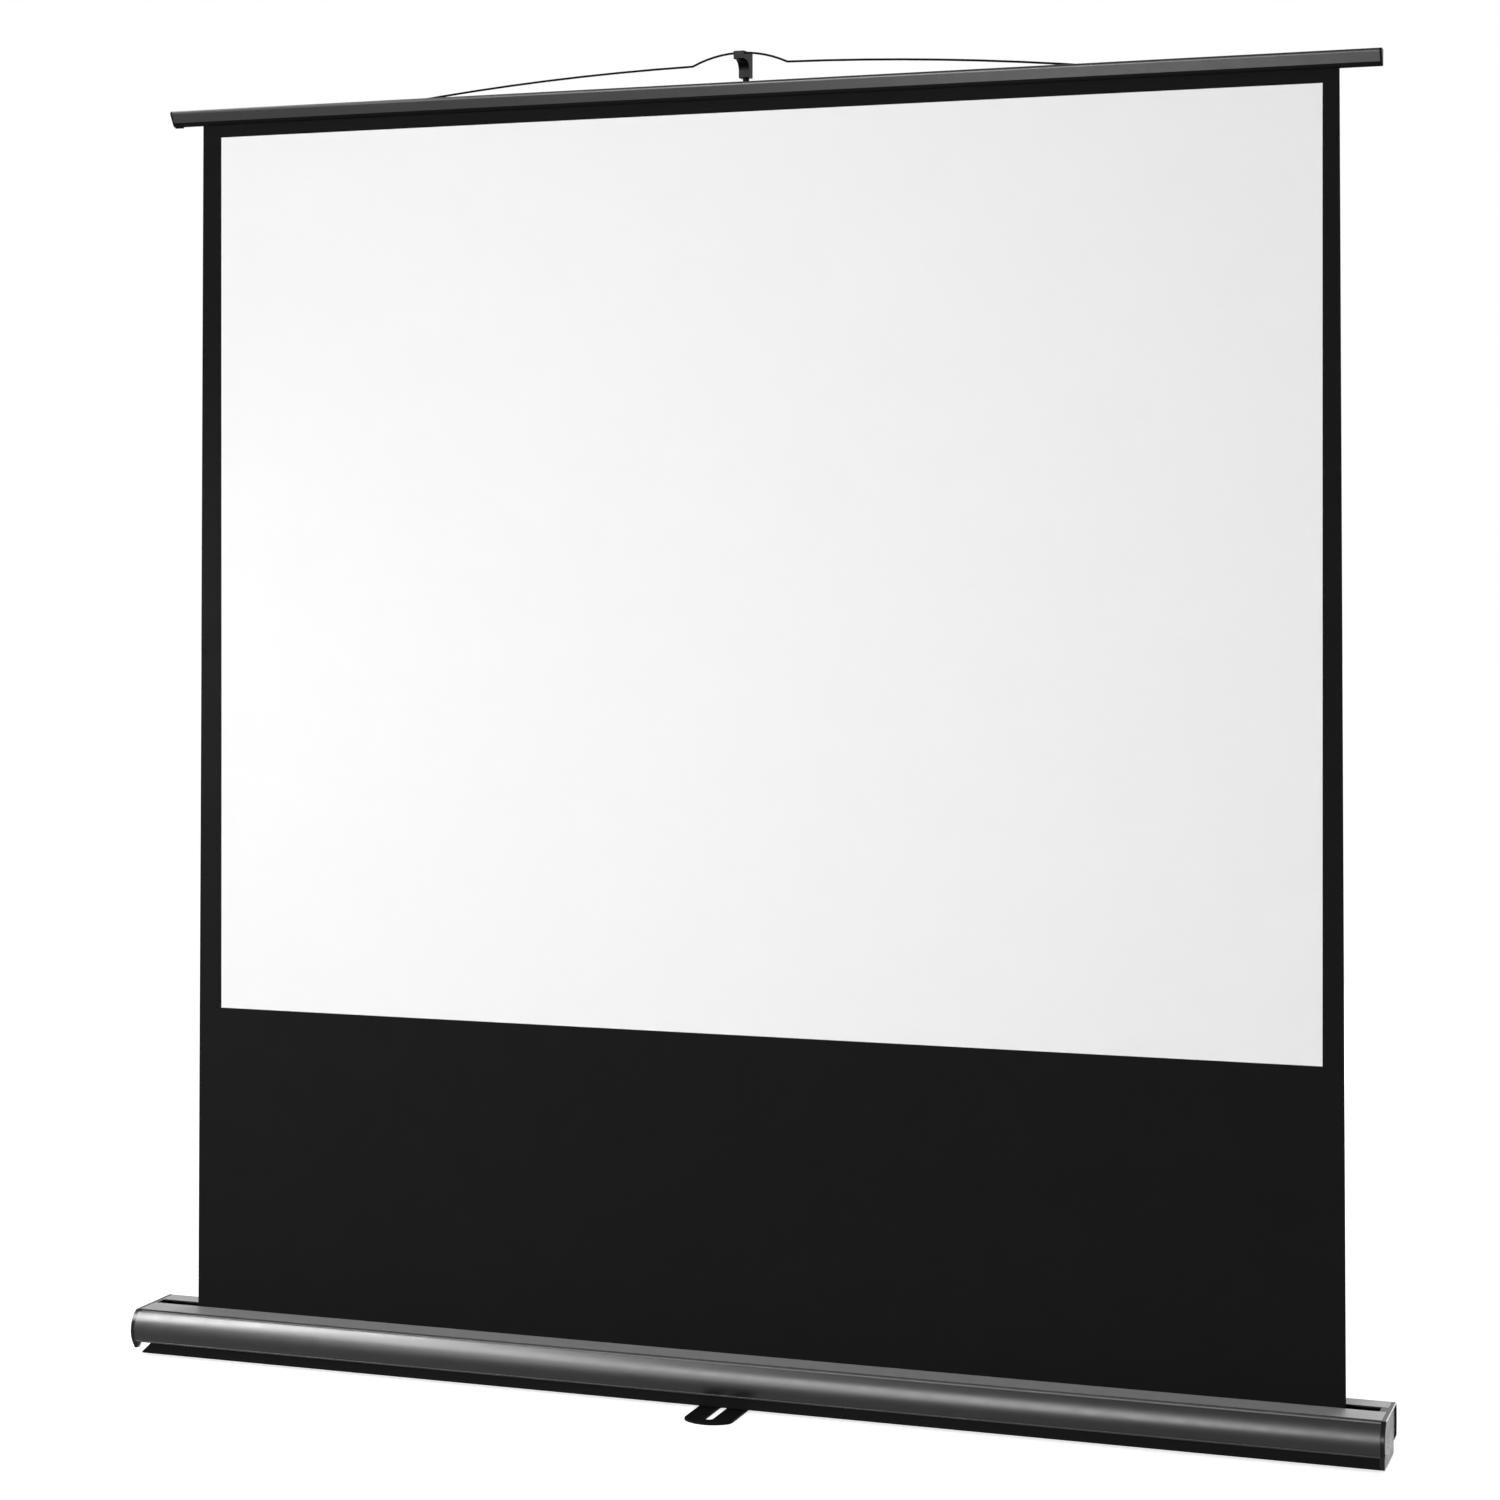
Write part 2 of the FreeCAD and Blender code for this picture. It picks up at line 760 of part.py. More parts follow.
def bend_centre(first, second, near):
    """Centre of a bend that touches two arcs from outside, on the side of the near point."""
    reach_a = first.Radius + bail_bend_radius
    reach_b = second.Radius + bail_bend_radius
    span = second.Center - first.Center
    along = (span.Length ** 2 + reach_a ** 2 - reach_b ** 2) / (2 * span.Length)
    aside = math.sqrt(reach_a ** 2 - along ** 2)
    forward = FreeCAD.Vector(span).normalize()
    sideways = forward.cross(Y)
    foot = first.Center + forward * along
    return min((foot + sideways * aside, foot - sideways * aside), key=near.distanceToPoint)


def bail_path():
    """The bail's centre line: two bowed runs that bend into a raised arch."""
    def place(x, rise):
        return FreeCAD.Vector(screen_x + x, wire_y, slat_top + rise)

    apex = place(0, bail_apex_rise)
    kinks = [place(side * bail_kink_x, bail_kink_rise) for side in (-1, 1)]
    arch = Part.Arc(kinks[0], apex, kinks[1]).toShape().Curve
    runs = []
    bends = []
    arch_ends = []
    for side, kink in zip((-1, 1), kinks):
        end = place(side * bail_end_x, bail_end_rise)
        bow = place(side * bail_bow_x, bail_bow_rise)
        run = Part.Arc(end, bow, kink).toShape().Curve
        centre = bend_centre(run, arch, kink)
        run_end = run.Center + (centre - run.Center).normalize() * run.Radius
        arch_end = arch.Center + (centre - arch.Center).normalize() * arch.Radius
        bend_middle = centre + (kink - centre).normalize() * bail_bend_radius
        runs.append(Part.Arc(end, bow, run_end).toShape())
        bends.append(Part.Arc(run_end, bend_middle, arch_end).toShape())
        arch_ends.append(arch_end)
    return runs, bends, Part.Arc(arch_ends[0], apex, arch_ends[1]).toShape()


def wire_along(arc, radius):
    """A round wire along one arc."""
    begin = arc.FirstParameter
    ring = Part.Wire(Part.makeCircle(radius, arc.valueAt(begin), arc.tangentAt(begin)))
    turn = math.degrees(arc.LastParameter - begin)
    return Part.Face(ring).revolve(arc.Curve.Center, arc.Curve.Axis, turn)


def bail_wire():
    """The spring wire that hangs the slat on the hook."""
    runs, bends, arch = bail_path()
    wire = wire_along(arch, bail_radius)
    for arc in bends + runs:
        wire = wire.fuse(wire_along(arc, bail_radius))
    return wire


def anchor_screw_places():
    """Places (x, z) of the screws in the bail's anchors."""
    return [(screen_x + side * bail_end_x, slat_top - anchor_screw_drop) for side in (-1, 1)]


def bail_anchors():
    """The two blocks on the slat's back that hold the wire's ends."""
    runs = bail_path()[0]
    anchors = []
    for (x, z), run in zip(anchor_screw_places(), runs):
        low = (x - anchor_width / 2, slat_back, slat_top - anchor_low)
        high = (x + anchor_width / 2, slat_back + anchor_depth, slat_top + anchor_high)
        anchor = block(low, high).cut(wire_along(run, bail_radius + anchor_wire_gap))
        anchor = anchor.cut(rod((x, slat_back, z), Y, screw_radius + screw_gap, anchor_depth))
        anchors.append(anchor)
    return Part.makeCompound(anchors)


def bail_anchor_screws():
    """One screw through each anchor into the slat."""
    head_y = slat_back + anchor_depth + screw_head_thick
    places = anchor_screw_places()
    return Part.makeCompound([screw((x, head_y, z), Y * -1, anchor_screw_length) for x, z in places])


# Mast

def bracket_plate_span():
    """Front and rear of the mast bracket along Y."""
    reach = lower_radius + ear_gap + ear_thick
    return mast_y - reach, mast_y + reach


def mast_bracket():
    """The clevis on the case's top behind the slot."""
    front, rear = bracket_plate_span()
    plate_low = (screen_x - bracket_half_length, front, case_top)
    plate_high = (screen_x + bracket_half_length, rear, case_top + bracket_plate)
    bracket = block(plate_low, plate_high)
    for y in (front, rear - ear_thick):
        ear_low = (screen_x - ear_half_width, y, case_top)
        ear_high = (screen_x + ear_half_width, y + ear_thick, pivot_z)
        ear = block(ear_low, ear_high)
        ear = ear.fuse(rod((screen_x, y, pivot_z), Y, ear_half_width, ear_thick))
        bracket = bracket.fuse(ear)
    bracket = bracket.cut(rod((screen_x, front, pivot_z), Y, pivot_radius + shaft_gap, rear - front))
    for x, y in bracket_screw_places():
        bracket = bracket.cut(rod((x, y, case_top), Z, screw_radius + screw_gap, bracket_plate))
    return bracket.removeSplitter()


def mast_bracket_screws():
    """The screws that hold the mast bracket to the case."""
    head_z = case_top + bracket_plate + screw_head_thick
    places = bracket_screw_places()
    return Part.makeCompound([screw((x, y, head_z), Z * -1, bracket_screw_length) for x, y in places])


def mast_pivot_pin():
    """The pin that the mast folds on, with a head at each side of the bracket."""
    front, rear = bracket_plate_span()
    pin = rod((screen_x, front, pivot_z), Y, pivot_radius, rear - front)
    pin = pin.fuse(rod((screen_x, rear, pivot_z), Y, pivot_head_radius, pivot_head_thick))
    return pin.fuse(rod((screen_x, front - bracket_edge, pivot_z), Y, pivot_head_radius, bracket_edge))


def mast_knuckle():
    """The flat-sided foot of the mast, round below, plugged into the lower tube and bored for the pin."""
    left = screen_x - lower_radius
    right = screen_x + lower_radius
    round_low = (screen_x, pivot_z - lower_radius)
    front = mast_y - lower_radius
    depth = 2 * lower_radius
    face = outline(
        at_y(front),
        (left, pivot_z),
        (round_low, (right, pivot_z)),
        (right, tube_start),
        (left, tube_start),
    )
    knuckle = face.extrude(Y * depth)
    knuckle = knuckle.fuse(rod((screen_x, mast_y, tube_start), Z, lower_radius - lower_wall, knuckle_plug))
    return knuckle.cut(rod((screen_x, front, pivot_z), Y, pivot_radius + shaft_gap, depth))


def stud_hole(radius, tube_radius, z):
    """The hole for a clamp stud through the back of a tube."""
    return rod((screen_x, mast_y, z), Y, radius, tube_radius)


def mast_tube(start, radius, wall, clamped=True):
    """One section of the mast, with a hole for its clamp stud."""
    tube = pipe((screen_x, mast_y, start), Z, radius, radius - wall, section)
    if not clamped:
        return tube
    return tube.cut(stud_hole(stud_radius + slide_gap, radius, start + section - knob_drop))


def clamp_collar(tube_end, radius, inner_radius):
    """The collar at a tube's upper end, with a boss for its clamp stud."""
    outer = radius + collar_wall
    collar = rod((screen_x, mast_y, tube_end - collar_below), Z, outer, collar_below + collar_above)
    rims = [edge for edge in collar.Edges if isinstance(edge.Curve, Part.Circle)]
    collar = collar.makeChamfer(collar_edge, rims)
    stud_z = tube_end - knob_drop
    boss = rod((screen_x, mast_y, stud_z), Y, stud_boss_radius, outer + stud_boss_reach)
    collar = collar.fuse(boss)
    collar = collar.cut(rod((screen_x, mast_y, tube_end - collar_below), Z, radius, collar_below))
    collar = collar.cut(rod((screen_x, mast_y, tube_end), Z, inner_radius + slide_gap, collar_above))
    return collar.cut(stud_hole(stud_radius + shaft_gap, outer + stud_boss_reach, stud_z))


def clamp_knob(tube_end, radius, inner_radius):
    """The fluted knob behind a collar, with its stud."""
    stud_z = tube_end - knob_drop
    face_y = mast_y + radius + collar_wall + stud_boss_reach + run_gap
    stud_start = mast_y + inner_radius + slide_gap
    knob = rod((screen_x, face_y, stud_z), Y, knob_radius, knob_length)
    rims = [edge for edge in knob.Edges if isinstance(edge.Curve, Part.Circle)]
    knob = knob.makeChamfer(knob_edge, rims)
    for index in range(knob_flutes):
        turn = 2 * math.pi * index / knob_flutes
        x = screen_x + knob_radius * math.cos(turn)
        z = stud_z + knob_radius * math.sin(turn)
        knob = knob.cut(rod((x, face_y, z), Y, knob_flute_radius, knob_length))
    return knob.fuse(rod((screen_x, stud_start, stud_z), Y, stud_radius, face_y - stud_start))


def tube_bush(start, radius, wall):
    """The plastic ring on the lower end of a sliding tube."""
    return pipe((screen_x, mast_y, start - bush_length), Z, radius, radius - wall, bush_length)


def hook_spigot():
    """The stepped plug in the top tube that carries the hook."""
    spigot = rod((screen_x, mast_y, tube_finish - spigot_seat), Z, top_radius - top_wall, spigot_seat)
    length = spigot_length + hook_height * spigot_share
    return spigot.fuse(rod((screen_x, mast_y, tube_finish), Z, spigot_radius, length))


def mast_hook():
    """The moulded hook: a nose over the wire, a hollow underside and a neck on the spigot."""
    left = screen_x - hook_width / 2
    nose_low = hook_top - hook_nose_height
    neck_front = mast_y - hook_neck_front
    neck_back = mast_y + hook_neck_back
    nose_back = hook_front + hook_nose_depth
    armpit = (neck_front, hook_bottom + hook_neck_front)
    bend = (neck_front - (neck_front - nose_back) * 0.3, nose_low - hook_neck_front * 0.36)
    face = outline(
        at_x(left),
        (hook_front, nose_low),
        (nose_back, nose_low),
        (bend, armpit),
        (neck_front, hook_bottom),
        (neck_back, hook_bottom),
        (neck_back, hook_top),
        (hook_front, hook_top),
    )
    hook = face.extrude(X * hook_width)
    hook = hook.makeChamfer(hook_edge, [edge for edge in hook.Edges if along_x(edge)])
    groove_radius = bail_radius + hook_groove_gap
    hook = hook.cut(rod((left, wire_y, wire_apex), X, groove_radius, hook_width))
    top_low = (left, wire_y - groove_radius, wire_apex)
    top_high = (left + hook_width, wire_y + groove_radius, hook_top)
    hook = hook.cut(block(top_low, top_high))
    return hook.cut(rod((screen_x, mast_y, hook_bottom), Z, spigot_radius, hook_height * spigot_share))


def mast_clip():
    """The open clip on the case's top that the folded mast drops into."""
    inner = lower_radius + clip_gap
    outer = inner + clip_wall
    left = screen_x + clip_reach - clip_width / 2
    right = left + clip_width
    clip = block((left, mast_y - outer, case_top), (right, mast_y + outer, pivot_z + clip_rise))
    clip = clip.cut(block((left, mast_y - inner, pivot_z), (right, mast_y + inner, pivot_z + clip_rise)))
    return clip.cut(rod((left, mast_y, pivot_z), X, inner, clip_width))


# Carry handle

def handle_ears():
    """The two blocks on the case's back that hold the handle's pins."""
    ears = []
    flat_back = back_y - back_bulge
    for x in handle_ear_x():
        low = (x - ear_block_width / 2, flat_back, handle_z - ear_block_height / 2)
        high = (x + ear_block_width / 2, back_y + ear_block_reach, handle_z + ear_block_height / 2)
        ear = block(low, high).cut(case_section(x - ear_block_width / 2).extrude(X * ear_block_width))
        bore_start = (x - ear_block_width / 2, handle_y, handle_z)
        ear = ear.cut(rod(bore_start, X, handle_pin_radius + shaft_gap, ear_block_width))
        for screw_x, screw_z in handle_screw_places():
            if abs(screw_x - x) < ear_block_width:
                hole = rod((screw_x, flat_back, screw_z), Y, screw_radius + screw_gap, 2 * ear_block_reach)
                ear = ear.cut(hole)
        ears.append(ear)
    return Part.makeCompound(ears)


def handle_screws():
    """The screws through the ears into the case's back."""
    head_y = back_y + ear_block_reach + screw_head_thick
    places = handle_screw_places()
    return Part.makeCompound([screw((x, head_y, z), Y * -1, handle_screw_length) for x, z in places])


def carry_handle():
    """The hanging U-shaped handle: two arms, a grip and a pin at each top."""
    arm_x = handle_span / 2 - ear_block_width / 2 - handle_side_gap - handle_bar_radius
    low_z = handle_z - handle_drop
    points = []
    for side in (-1, 1):
        points.append((FreeCAD.Vector(screen_x + side * arm_x, handle_y, handle_z), side))
    handle = None
    for top, side in points:
        arm = rod((top.x, top.y, low_z), Z, handle_bar_radius, handle_drop)
        arm = arm.fuse(Part.makeSphere(handle_bar_radius, top))
        arm = arm.fuse(Part.makeSphere(handle_bar_radius, FreeCAD.Vector(top.x, top.y, low_z)))
        pin_length = handle_bar_radius + handle_side_gap + handle_pin_length
        arm = arm.fuse(Part.makeCylinder(handle_pin_radius, pin_length, top, X * side))
        handle = arm if handle is None else handle.fuse(arm)
    bar = rod((screen_x - arm_x, handle_y, low_z), X, handle_bar_radius, 2 * arm_x)
    grip_start = (screen_x - handle_grip_length / 2, handle_y, low_z)
    grip = rod(grip_start, X, handle_grip_radius, handle_grip_length)
    rims = [edge for edge in grip.Edges if isinstance(edge.Curve, Part.Circle)]
    grip = grip.makeFillet(handle_grip_radius / 3, rims)
    return handle.fuse(bar).fuse(grip)


pieces = {
    "case_shell": case_shell(),
    "base_rail": base_rail(),
    "rail_end_plugs": rail_end_plugs(),
    "rail_screws": rail_screws(),
    "left_end_cap": end_cap(-1, left_tongue),
    "right_end_cap": end_cap(1, right_tongue),
    "end_cap_screws": end_cap_screws(),
    "foot_pads": foot_pads(),
    "swivel_foot": swivel_foot(),
    "foot_rivet": foot_rivet(),
    "foot_washer": foot_washer(),
    "roller_bracket_left": roller_bracket_left(),
    "roller_bracket_right": roller_bracket_right(),
    "spring_shaft": spring_shaft(),
    "roller_spring": roller_spring(),
    "roller_tube": roller_tube(),
    "roller_end_plug": roller_end_plug(),
    "roller_spring_plug": roller_spring_plug(),
    "roller_inner_bush": roller_inner_bush(),
    "cloth_wraps": cloth_wraps(),
    "screen_cloth": screen_cloth(),
    "image_surface": image_surface(),
    "top_slat": top_slat(),
    "slat_cap_left": slat_cap(-1),
    "slat_cap_right": slat_cap(1),
    "cloth_keder": cloth_keder(),
    "bail_wire": bail_wire(),
    "bail_anchors": bail_anchors(),
    "bail_anchor_screws": bail_anchor_screws(),
    "mast_bracket": mast_bracket(),
    "mast_bracket_screws": mast_bracket_screws(),
    "mast_pivot_pin": mast_pivot_pin(),
    "mast_knuckle": mast_knuckle(),
    "mast_lower_tube": mast_tube(tube_start, lower_radius, lower_wall),
    "mast_middle_tube": mast_tube(middle_start, middle_radius, middle_wall),
    "mast_top_tube": mast_tube(top_start, top_radius, top_wall, clamped=False),
    "lower_clamp_collar": clamp_collar(lower_end, lower_radius, middle_radius),
    "middle_clamp_collar": clamp_collar(middle_end, middle_radius, top_radius),
    "lower_clamp_knob": clamp_knob(lower_end, lower_radius, middle_radius),
    "middle_clamp_knob": clamp_knob(middle_end, middle_radius, top_radius),
    "middle_tube_bush": tube_bush(middle_start, middle_radius, middle_wall),
    "top_tube_bush": tube_bush(top_start, top_radius, top_wall),
    "hook_spigot": hook_spigot(),
    "mast_hook": mast_hook(),
    "mast_clip": mast_clip(),
    "handle_ears": handle_ears(),
    "handle_screws": handle_screws(),
    "carry_handle": carry_handle(),
}

os.makedirs("parts", exist_ok=True)
for node, shape in pieces.items():
    shape.exportStep(os.path.join("parts", node + ".step"))
    print(node, "solids", len(shape.Solids), "valid", shape.isValid(), "volume", round(shape.Volume, 1))
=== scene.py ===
"""Looks of a floor-standing pull-up projection screen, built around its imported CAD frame."""

import json
import logging
import math
from dataclasses import dataclass, field
from enum import Enum
from typing import Callable, Sequence

import bmesh
import bpy
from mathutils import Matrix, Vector


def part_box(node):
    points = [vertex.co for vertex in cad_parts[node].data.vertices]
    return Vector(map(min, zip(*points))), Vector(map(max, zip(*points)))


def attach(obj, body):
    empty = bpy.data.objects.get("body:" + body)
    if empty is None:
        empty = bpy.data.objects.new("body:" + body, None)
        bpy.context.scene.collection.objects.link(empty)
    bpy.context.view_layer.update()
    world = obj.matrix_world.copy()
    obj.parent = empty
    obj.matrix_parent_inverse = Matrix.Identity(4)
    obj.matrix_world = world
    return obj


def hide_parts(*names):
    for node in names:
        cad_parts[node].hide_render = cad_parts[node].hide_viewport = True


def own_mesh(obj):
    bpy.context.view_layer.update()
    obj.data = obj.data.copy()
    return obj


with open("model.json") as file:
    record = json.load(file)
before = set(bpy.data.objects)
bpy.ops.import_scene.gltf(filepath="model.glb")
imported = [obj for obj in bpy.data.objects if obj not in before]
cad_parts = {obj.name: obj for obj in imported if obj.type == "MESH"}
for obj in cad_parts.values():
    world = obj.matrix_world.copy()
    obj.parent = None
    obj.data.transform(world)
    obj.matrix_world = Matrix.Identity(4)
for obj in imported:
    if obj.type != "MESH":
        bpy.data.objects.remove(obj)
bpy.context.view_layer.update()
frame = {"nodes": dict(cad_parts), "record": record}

Colour = tuple[float, float, float]
Point = tuple[float, float, float]
Socket = bpy.types.NodeSocket

MM = 0.001
log = logging.getLogger("projection_screen")

# Distances in metres under which points are merged, and smoothing angles in degrees
WELD = 1e-6
FINE_WELD = 1e-7
FLAT_ANGLE = 35.0
ROUND_ANGLE = 60.0
Z_TO_X = (0.0, math.radians(90.0), 0.0)


# Node drawing

class Sketch:
    """A node tree that is being drawn."""

    def __init__(self, tree: bpy.types.NodeTree) -> None:
        """Keeps the tree that nodes are added to."""
        self.tree = tree

    def add(self, kind: str, inputs: dict | None = None, **settings: object) -> bpy.types.Node:
        """Adds one node.

        Args:
            kind: Blender's type name of the node.
            inputs: value or output socket for each input, by name or place.
            **settings: the node's own properties.

        Returns:
            The new node.
        """
        node = self.tree.nodes.new(kind)
        for name, value in settings.items():
            setattr(node, name, value)
        for name, value in (inputs or {}).items():
            self.feed(node.inputs[name], value)
        return node

    def feed(self, socket: Socket, value: object) -> None:
        """Joins an output to the socket, or sets the socket's own value."""
        if isinstance(value, Socket):
            self.tree.links.new(value, socket)
        else:
            socket.default_value = value

    def math(self, operation: str, *values: object) -> Socket:
        """The result of a Math node on one, two or three values."""
        return self.add("ShaderNodeMath", dict(enumerate(values)), operation=operation).outputs[0]

    def spread(self, value: object, low: float, high: float,
               start: float = 0.0, end: float = 1.0) -> Socket:
        """A value moved from the range start to end into the range low to high."""
        inputs = {"Value": value, "From Min": start, "From Max": end, "To Min": low, "To Max": high}
        return self.add("ShaderNodeMapRange", inputs).outputs[0]

    def mix(self, share: object, first: object, second: object) -> Socket:
        """A colour between two colours."""
        inputs = {0: share, 6: first, 7: second}
        return self.add("ShaderNodeMix", inputs, data_type="RGBA").outputs[2]

    def noise(self, place: object, scale: float, detail: float = 2.0) -> Socket:
        """The factor of a noise texture."""
        inputs = {"Vector": place, "Scale": scale, "Detail": detail}
        return self.add("ShaderNodeTexNoise", inputs).outputs[0]


# Finishes

# Noise scales are per metre, a span is the part of a noise's range that is used, and the edge turn holds
# the cosines between the softened and the plain normal at which an edge is fully lightened and not
# lightened, by rubbing on most finishes and by a painted highlight on the end caps
NOISE_SPAN = (0.3, 0.7)
TINT_SCALE = 14.0
TINT_DETAIL = 4.0
GLOSS_SCALE = 45.0
GLOSS_DETAIL = 5.0
WEAR_AND_GLINT_SCALE = 90.0
WEAR_AND_GLINT_DETAIL = 4.0
WEAR_AND_GLINT_SPAN = (0.35, 0.65)
WEAR_AND_GLINT_TURN = (0.80, 0.99)

# Grain scales are shares of a finish's own grain, and shares are what the second layer adds
GRAIN_DETAIL = 3.0
DRAWN_STRETCH = 0.012
PORE_SCALE = 1.7
PORE_SHARE = 0.35
MOTTLE_SCALE = 0.6
MOTTLE_SHARE = 0.5
SLUB_SCALE = 0.25
THREAD_SHARE = 0.5

SHEEN_ROUGHNESS = 0.34
LEAST_ROUGHNESS = 0.02
EDGE_SAMPLES = 4


class Grain(Enum):
    """The fine relief of a surface."""

    DRAWN_ALONG_X = "lines of an extrusion that runs along X"
    DRAWN_ALONG_Z = "lines of a tube that stands along Z"
    POWDER = "orange peel of a powder coat"
    SPARKED = "spark-eroded mould grain"
    PLATED = "faint crystals of a plating"
    RUBBED = "matt moulded rubber"
    WOVEN = "plain weave under a coating"
    BEADED = "fine bead emboss of a projection coating"


@dataclass(frozen=True)
class Finish:
    """One surface finish and its procedural material.

    Attributes:
        name: name of the material.
        colour: linear base colour.
        worn_and_glint_colour: linear colour that thin edges turn towards: rubbed edges on most finishes, a
            painted highlight on the end caps.
        roughness: mean roughness.
        roughness_swing: how far roughness drifts over the surface.
        grain: which relief the surface has.
        grain_size: size of that relief in metres.
        grain_depth: depth of that relief in metres.
        metallic: share of metal.
        specular: specular level of the shader.
        tint_swing: how far the colour drifts, as a share.
        wear_and_glint_strength: how strongly edges are lightened towards that colour.
        edge: radius in metres over which sharp edges look softened, or 0 where none shows.
        sheen: weight of the sheen that brightens a surface seen at a slant.
    """

    name: str
    colour: Colour
    worn_and_glint_colour: Colour
    roughness: float
    roughness_swing: float
    grain: Grain
    grain_size: float
    grain_depth: float
    metallic: float = 0.0
    specular: float = 0.5
    tint_swing: float = 0.06
    wear_and_glint_strength: float = 0.5
    edge: float = 0.4 * MM
    sheen: float = 0.0

    def relief(self, sketch: Sketch, place: Socket) -> Socket:
        """Draws the grain.

        Args:
            sketch: the material's nodes.
            place: object coordinates.

        Returns:
            The height of the grain, from 0 to 1.
        """
        fine = 1.0 / self.grain_size
        stretch = {
            Grain.DRAWN_ALONG_X: (fine * DRAWN_STRETCH, fine, fine),
            Grain.DRAWN_ALONG_Z: (fine, fine, fine * DRAWN_STRETCH),
        }.get(self.grain)
        if stretch:
            drawn = sketch.add("ShaderNodeMapping", {"Vector": place, "Scale": stretch}).outputs[0]
            lines = sketch.noise(drawn, 1.0, GRAIN_DETAIL)
            pores = sketch.noise(place, fine * PORE_SCALE)
            return sketch.math("MULTIPLY_ADD", pores, PORE_SHARE, lines)
        if self.grain is Grain.WOVEN:
            return self.weave(sketch, place)
        if self.grain in (Grain.SPARKED, Grain.BEADED):
            cells = {"Vector": place, "Scale": fine}
            pits = sketch.add("ShaderNodeTexVoronoi", cells, feature="SMOOTH_F1").outputs["Distance"]
            mottle = sketch.noise(place, fine * MOTTLE_SCALE)
            return sketch.math("MULTIPLY_ADD", mottle, MOTTLE_SHARE, pits)
        return sketch.noise(place, fine, GRAIN_DETAIL)

    def weave(self, sketch: Sketch, place: Socket) -> Socket:
        """Draws warp and weft threads over the cloth's plane.

        Args:
            sketch: the material's nodes.
            place: object coordinates.

        Returns:
            The height of the threads, from 0 to 1.
        """
        axes = sketch.add("ShaderNodeSeparateXYZ", {0: place}).outputs
        turns = math.pi / self.grain_size
        warp = sketch.math("SINE", sketch.math("MULTIPLY", axes["X"], turns))
        weft = sketch.math("SINE", sketch.math("MULTIPLY", axes["Z"], turns))
        crossing = sketch.math("MULTIPLY", warp, weft)
        slub = sketch.noise(place, SLUB_SCALE / self.grain_size)
        return sketch.math("MULTIPLY_ADD", crossing, THREAD_SHARE, slub)

    def wear_and_glint_mask(self, sketch: Sketch, soft: Socket, place: Socket) -> Socket:
        """Finds worn edges.

        Args:
            sketch: the material's nodes.
            soft: the softened normal.
            place: object coordinates.

        Returns:
            A mask of 1 on lightened edges, rubbed or painted with a highlight, and 0 elsewhere.
        """
        plain = sketch.add("ShaderNodeNewGeometry").outputs["Normal"]
        turn = sketch.add("ShaderNodeVectorMath", {0: soft, 1: plain}, operation="DOT_PRODUCT")
        sharp = sketch.spread(turn.outputs["Value"], self.wear_and_glint_strength, 0.0, *WEAR_AND_GLINT_TURN)
        patchy = sketch.spread(sketch.noise(place, WEAR_AND_GLINT_SCALE, WEAR_AND_GLINT_DETAIL), 0.0, 1.0, *WEAR_AND_GLINT_SPAN)
        return sketch.math("MULTIPLY", sharp, patchy)

    def material(self) -> bpy.types.Material:
        """The finish as a material, made once."""
        found = bpy.data.materials.get(self.name)
        if found:
            return found
        made = bpy.data.materials.new(self.name)
        made.use_nodes = True
        made.diffuse_color = (*self.colour, 1.0)
        sketch = Sketch(made.node_tree)
        shader = made.node_tree.nodes["Principled BSDF"]
        place = sketch.add("ShaderNodeTexCoord").outputs["Object"]
        drift = sketch.noise(place, TINT_SCALE, TINT_DETAIL)
        dark = tuple(c * (1.0 - self.tint_swing) for c in self.colour)
        light = tuple(c * (1.0 + self.tint_swing) for c in self.colour)
        tinted = sketch.mix(sketch.spread(drift, 0.0, 1.0, *NOISE_SPAN), (*dark, 1.0), (*light, 1.0))
        bump = {"Strength": 1.0, "Distance": self.grain_depth, "Height": self.relief(sketch, place)}
        if self.edge:
            soft = sketch.add("ShaderNodeBevel", {"Radius": self.edge}, samples=EDGE_SAMPLES).outputs[0]
            bump["Normal"] = soft
            # Lightens thin edges towards the edge colour: rubbing on most finishes, a painted highlight
            # along the bevels on the end caps.
            tinted = sketch.mix(self.wear_and_glint_mask(sketch, soft, place), tinted, (*self.worn_and_glint_colour, 1.0))
        low = max(self.roughness - self.roughness_swing, LEAST_ROUGHNESS)
        high = min(self.roughness + self.roughness_swing, 1.0)
        gloss = sketch.noise(place, GLOSS_SCALE, GLOSS_DETAIL)
        sketch.feed(shader.inputs["Base Color"], tinted)
        sketch.feed(shader.inputs["Roughness"], sketch.spread(gloss, low, high, *NOISE_SPAN))
        sketch.feed(shader.inputs["Normal"], sketch.add("ShaderNodeBump", bump).outputs[0])
        shader.inputs["Metallic"].default_value = self.metallic
        shader.inputs["Specular IOR Level"].default_value = self.specular
        shader.inputs["Sheen Weight"].default_value = self.sheen
        shader.inputs["Sheen Roughness"].default_value = SHEEN_ROUGHNESS
        return made


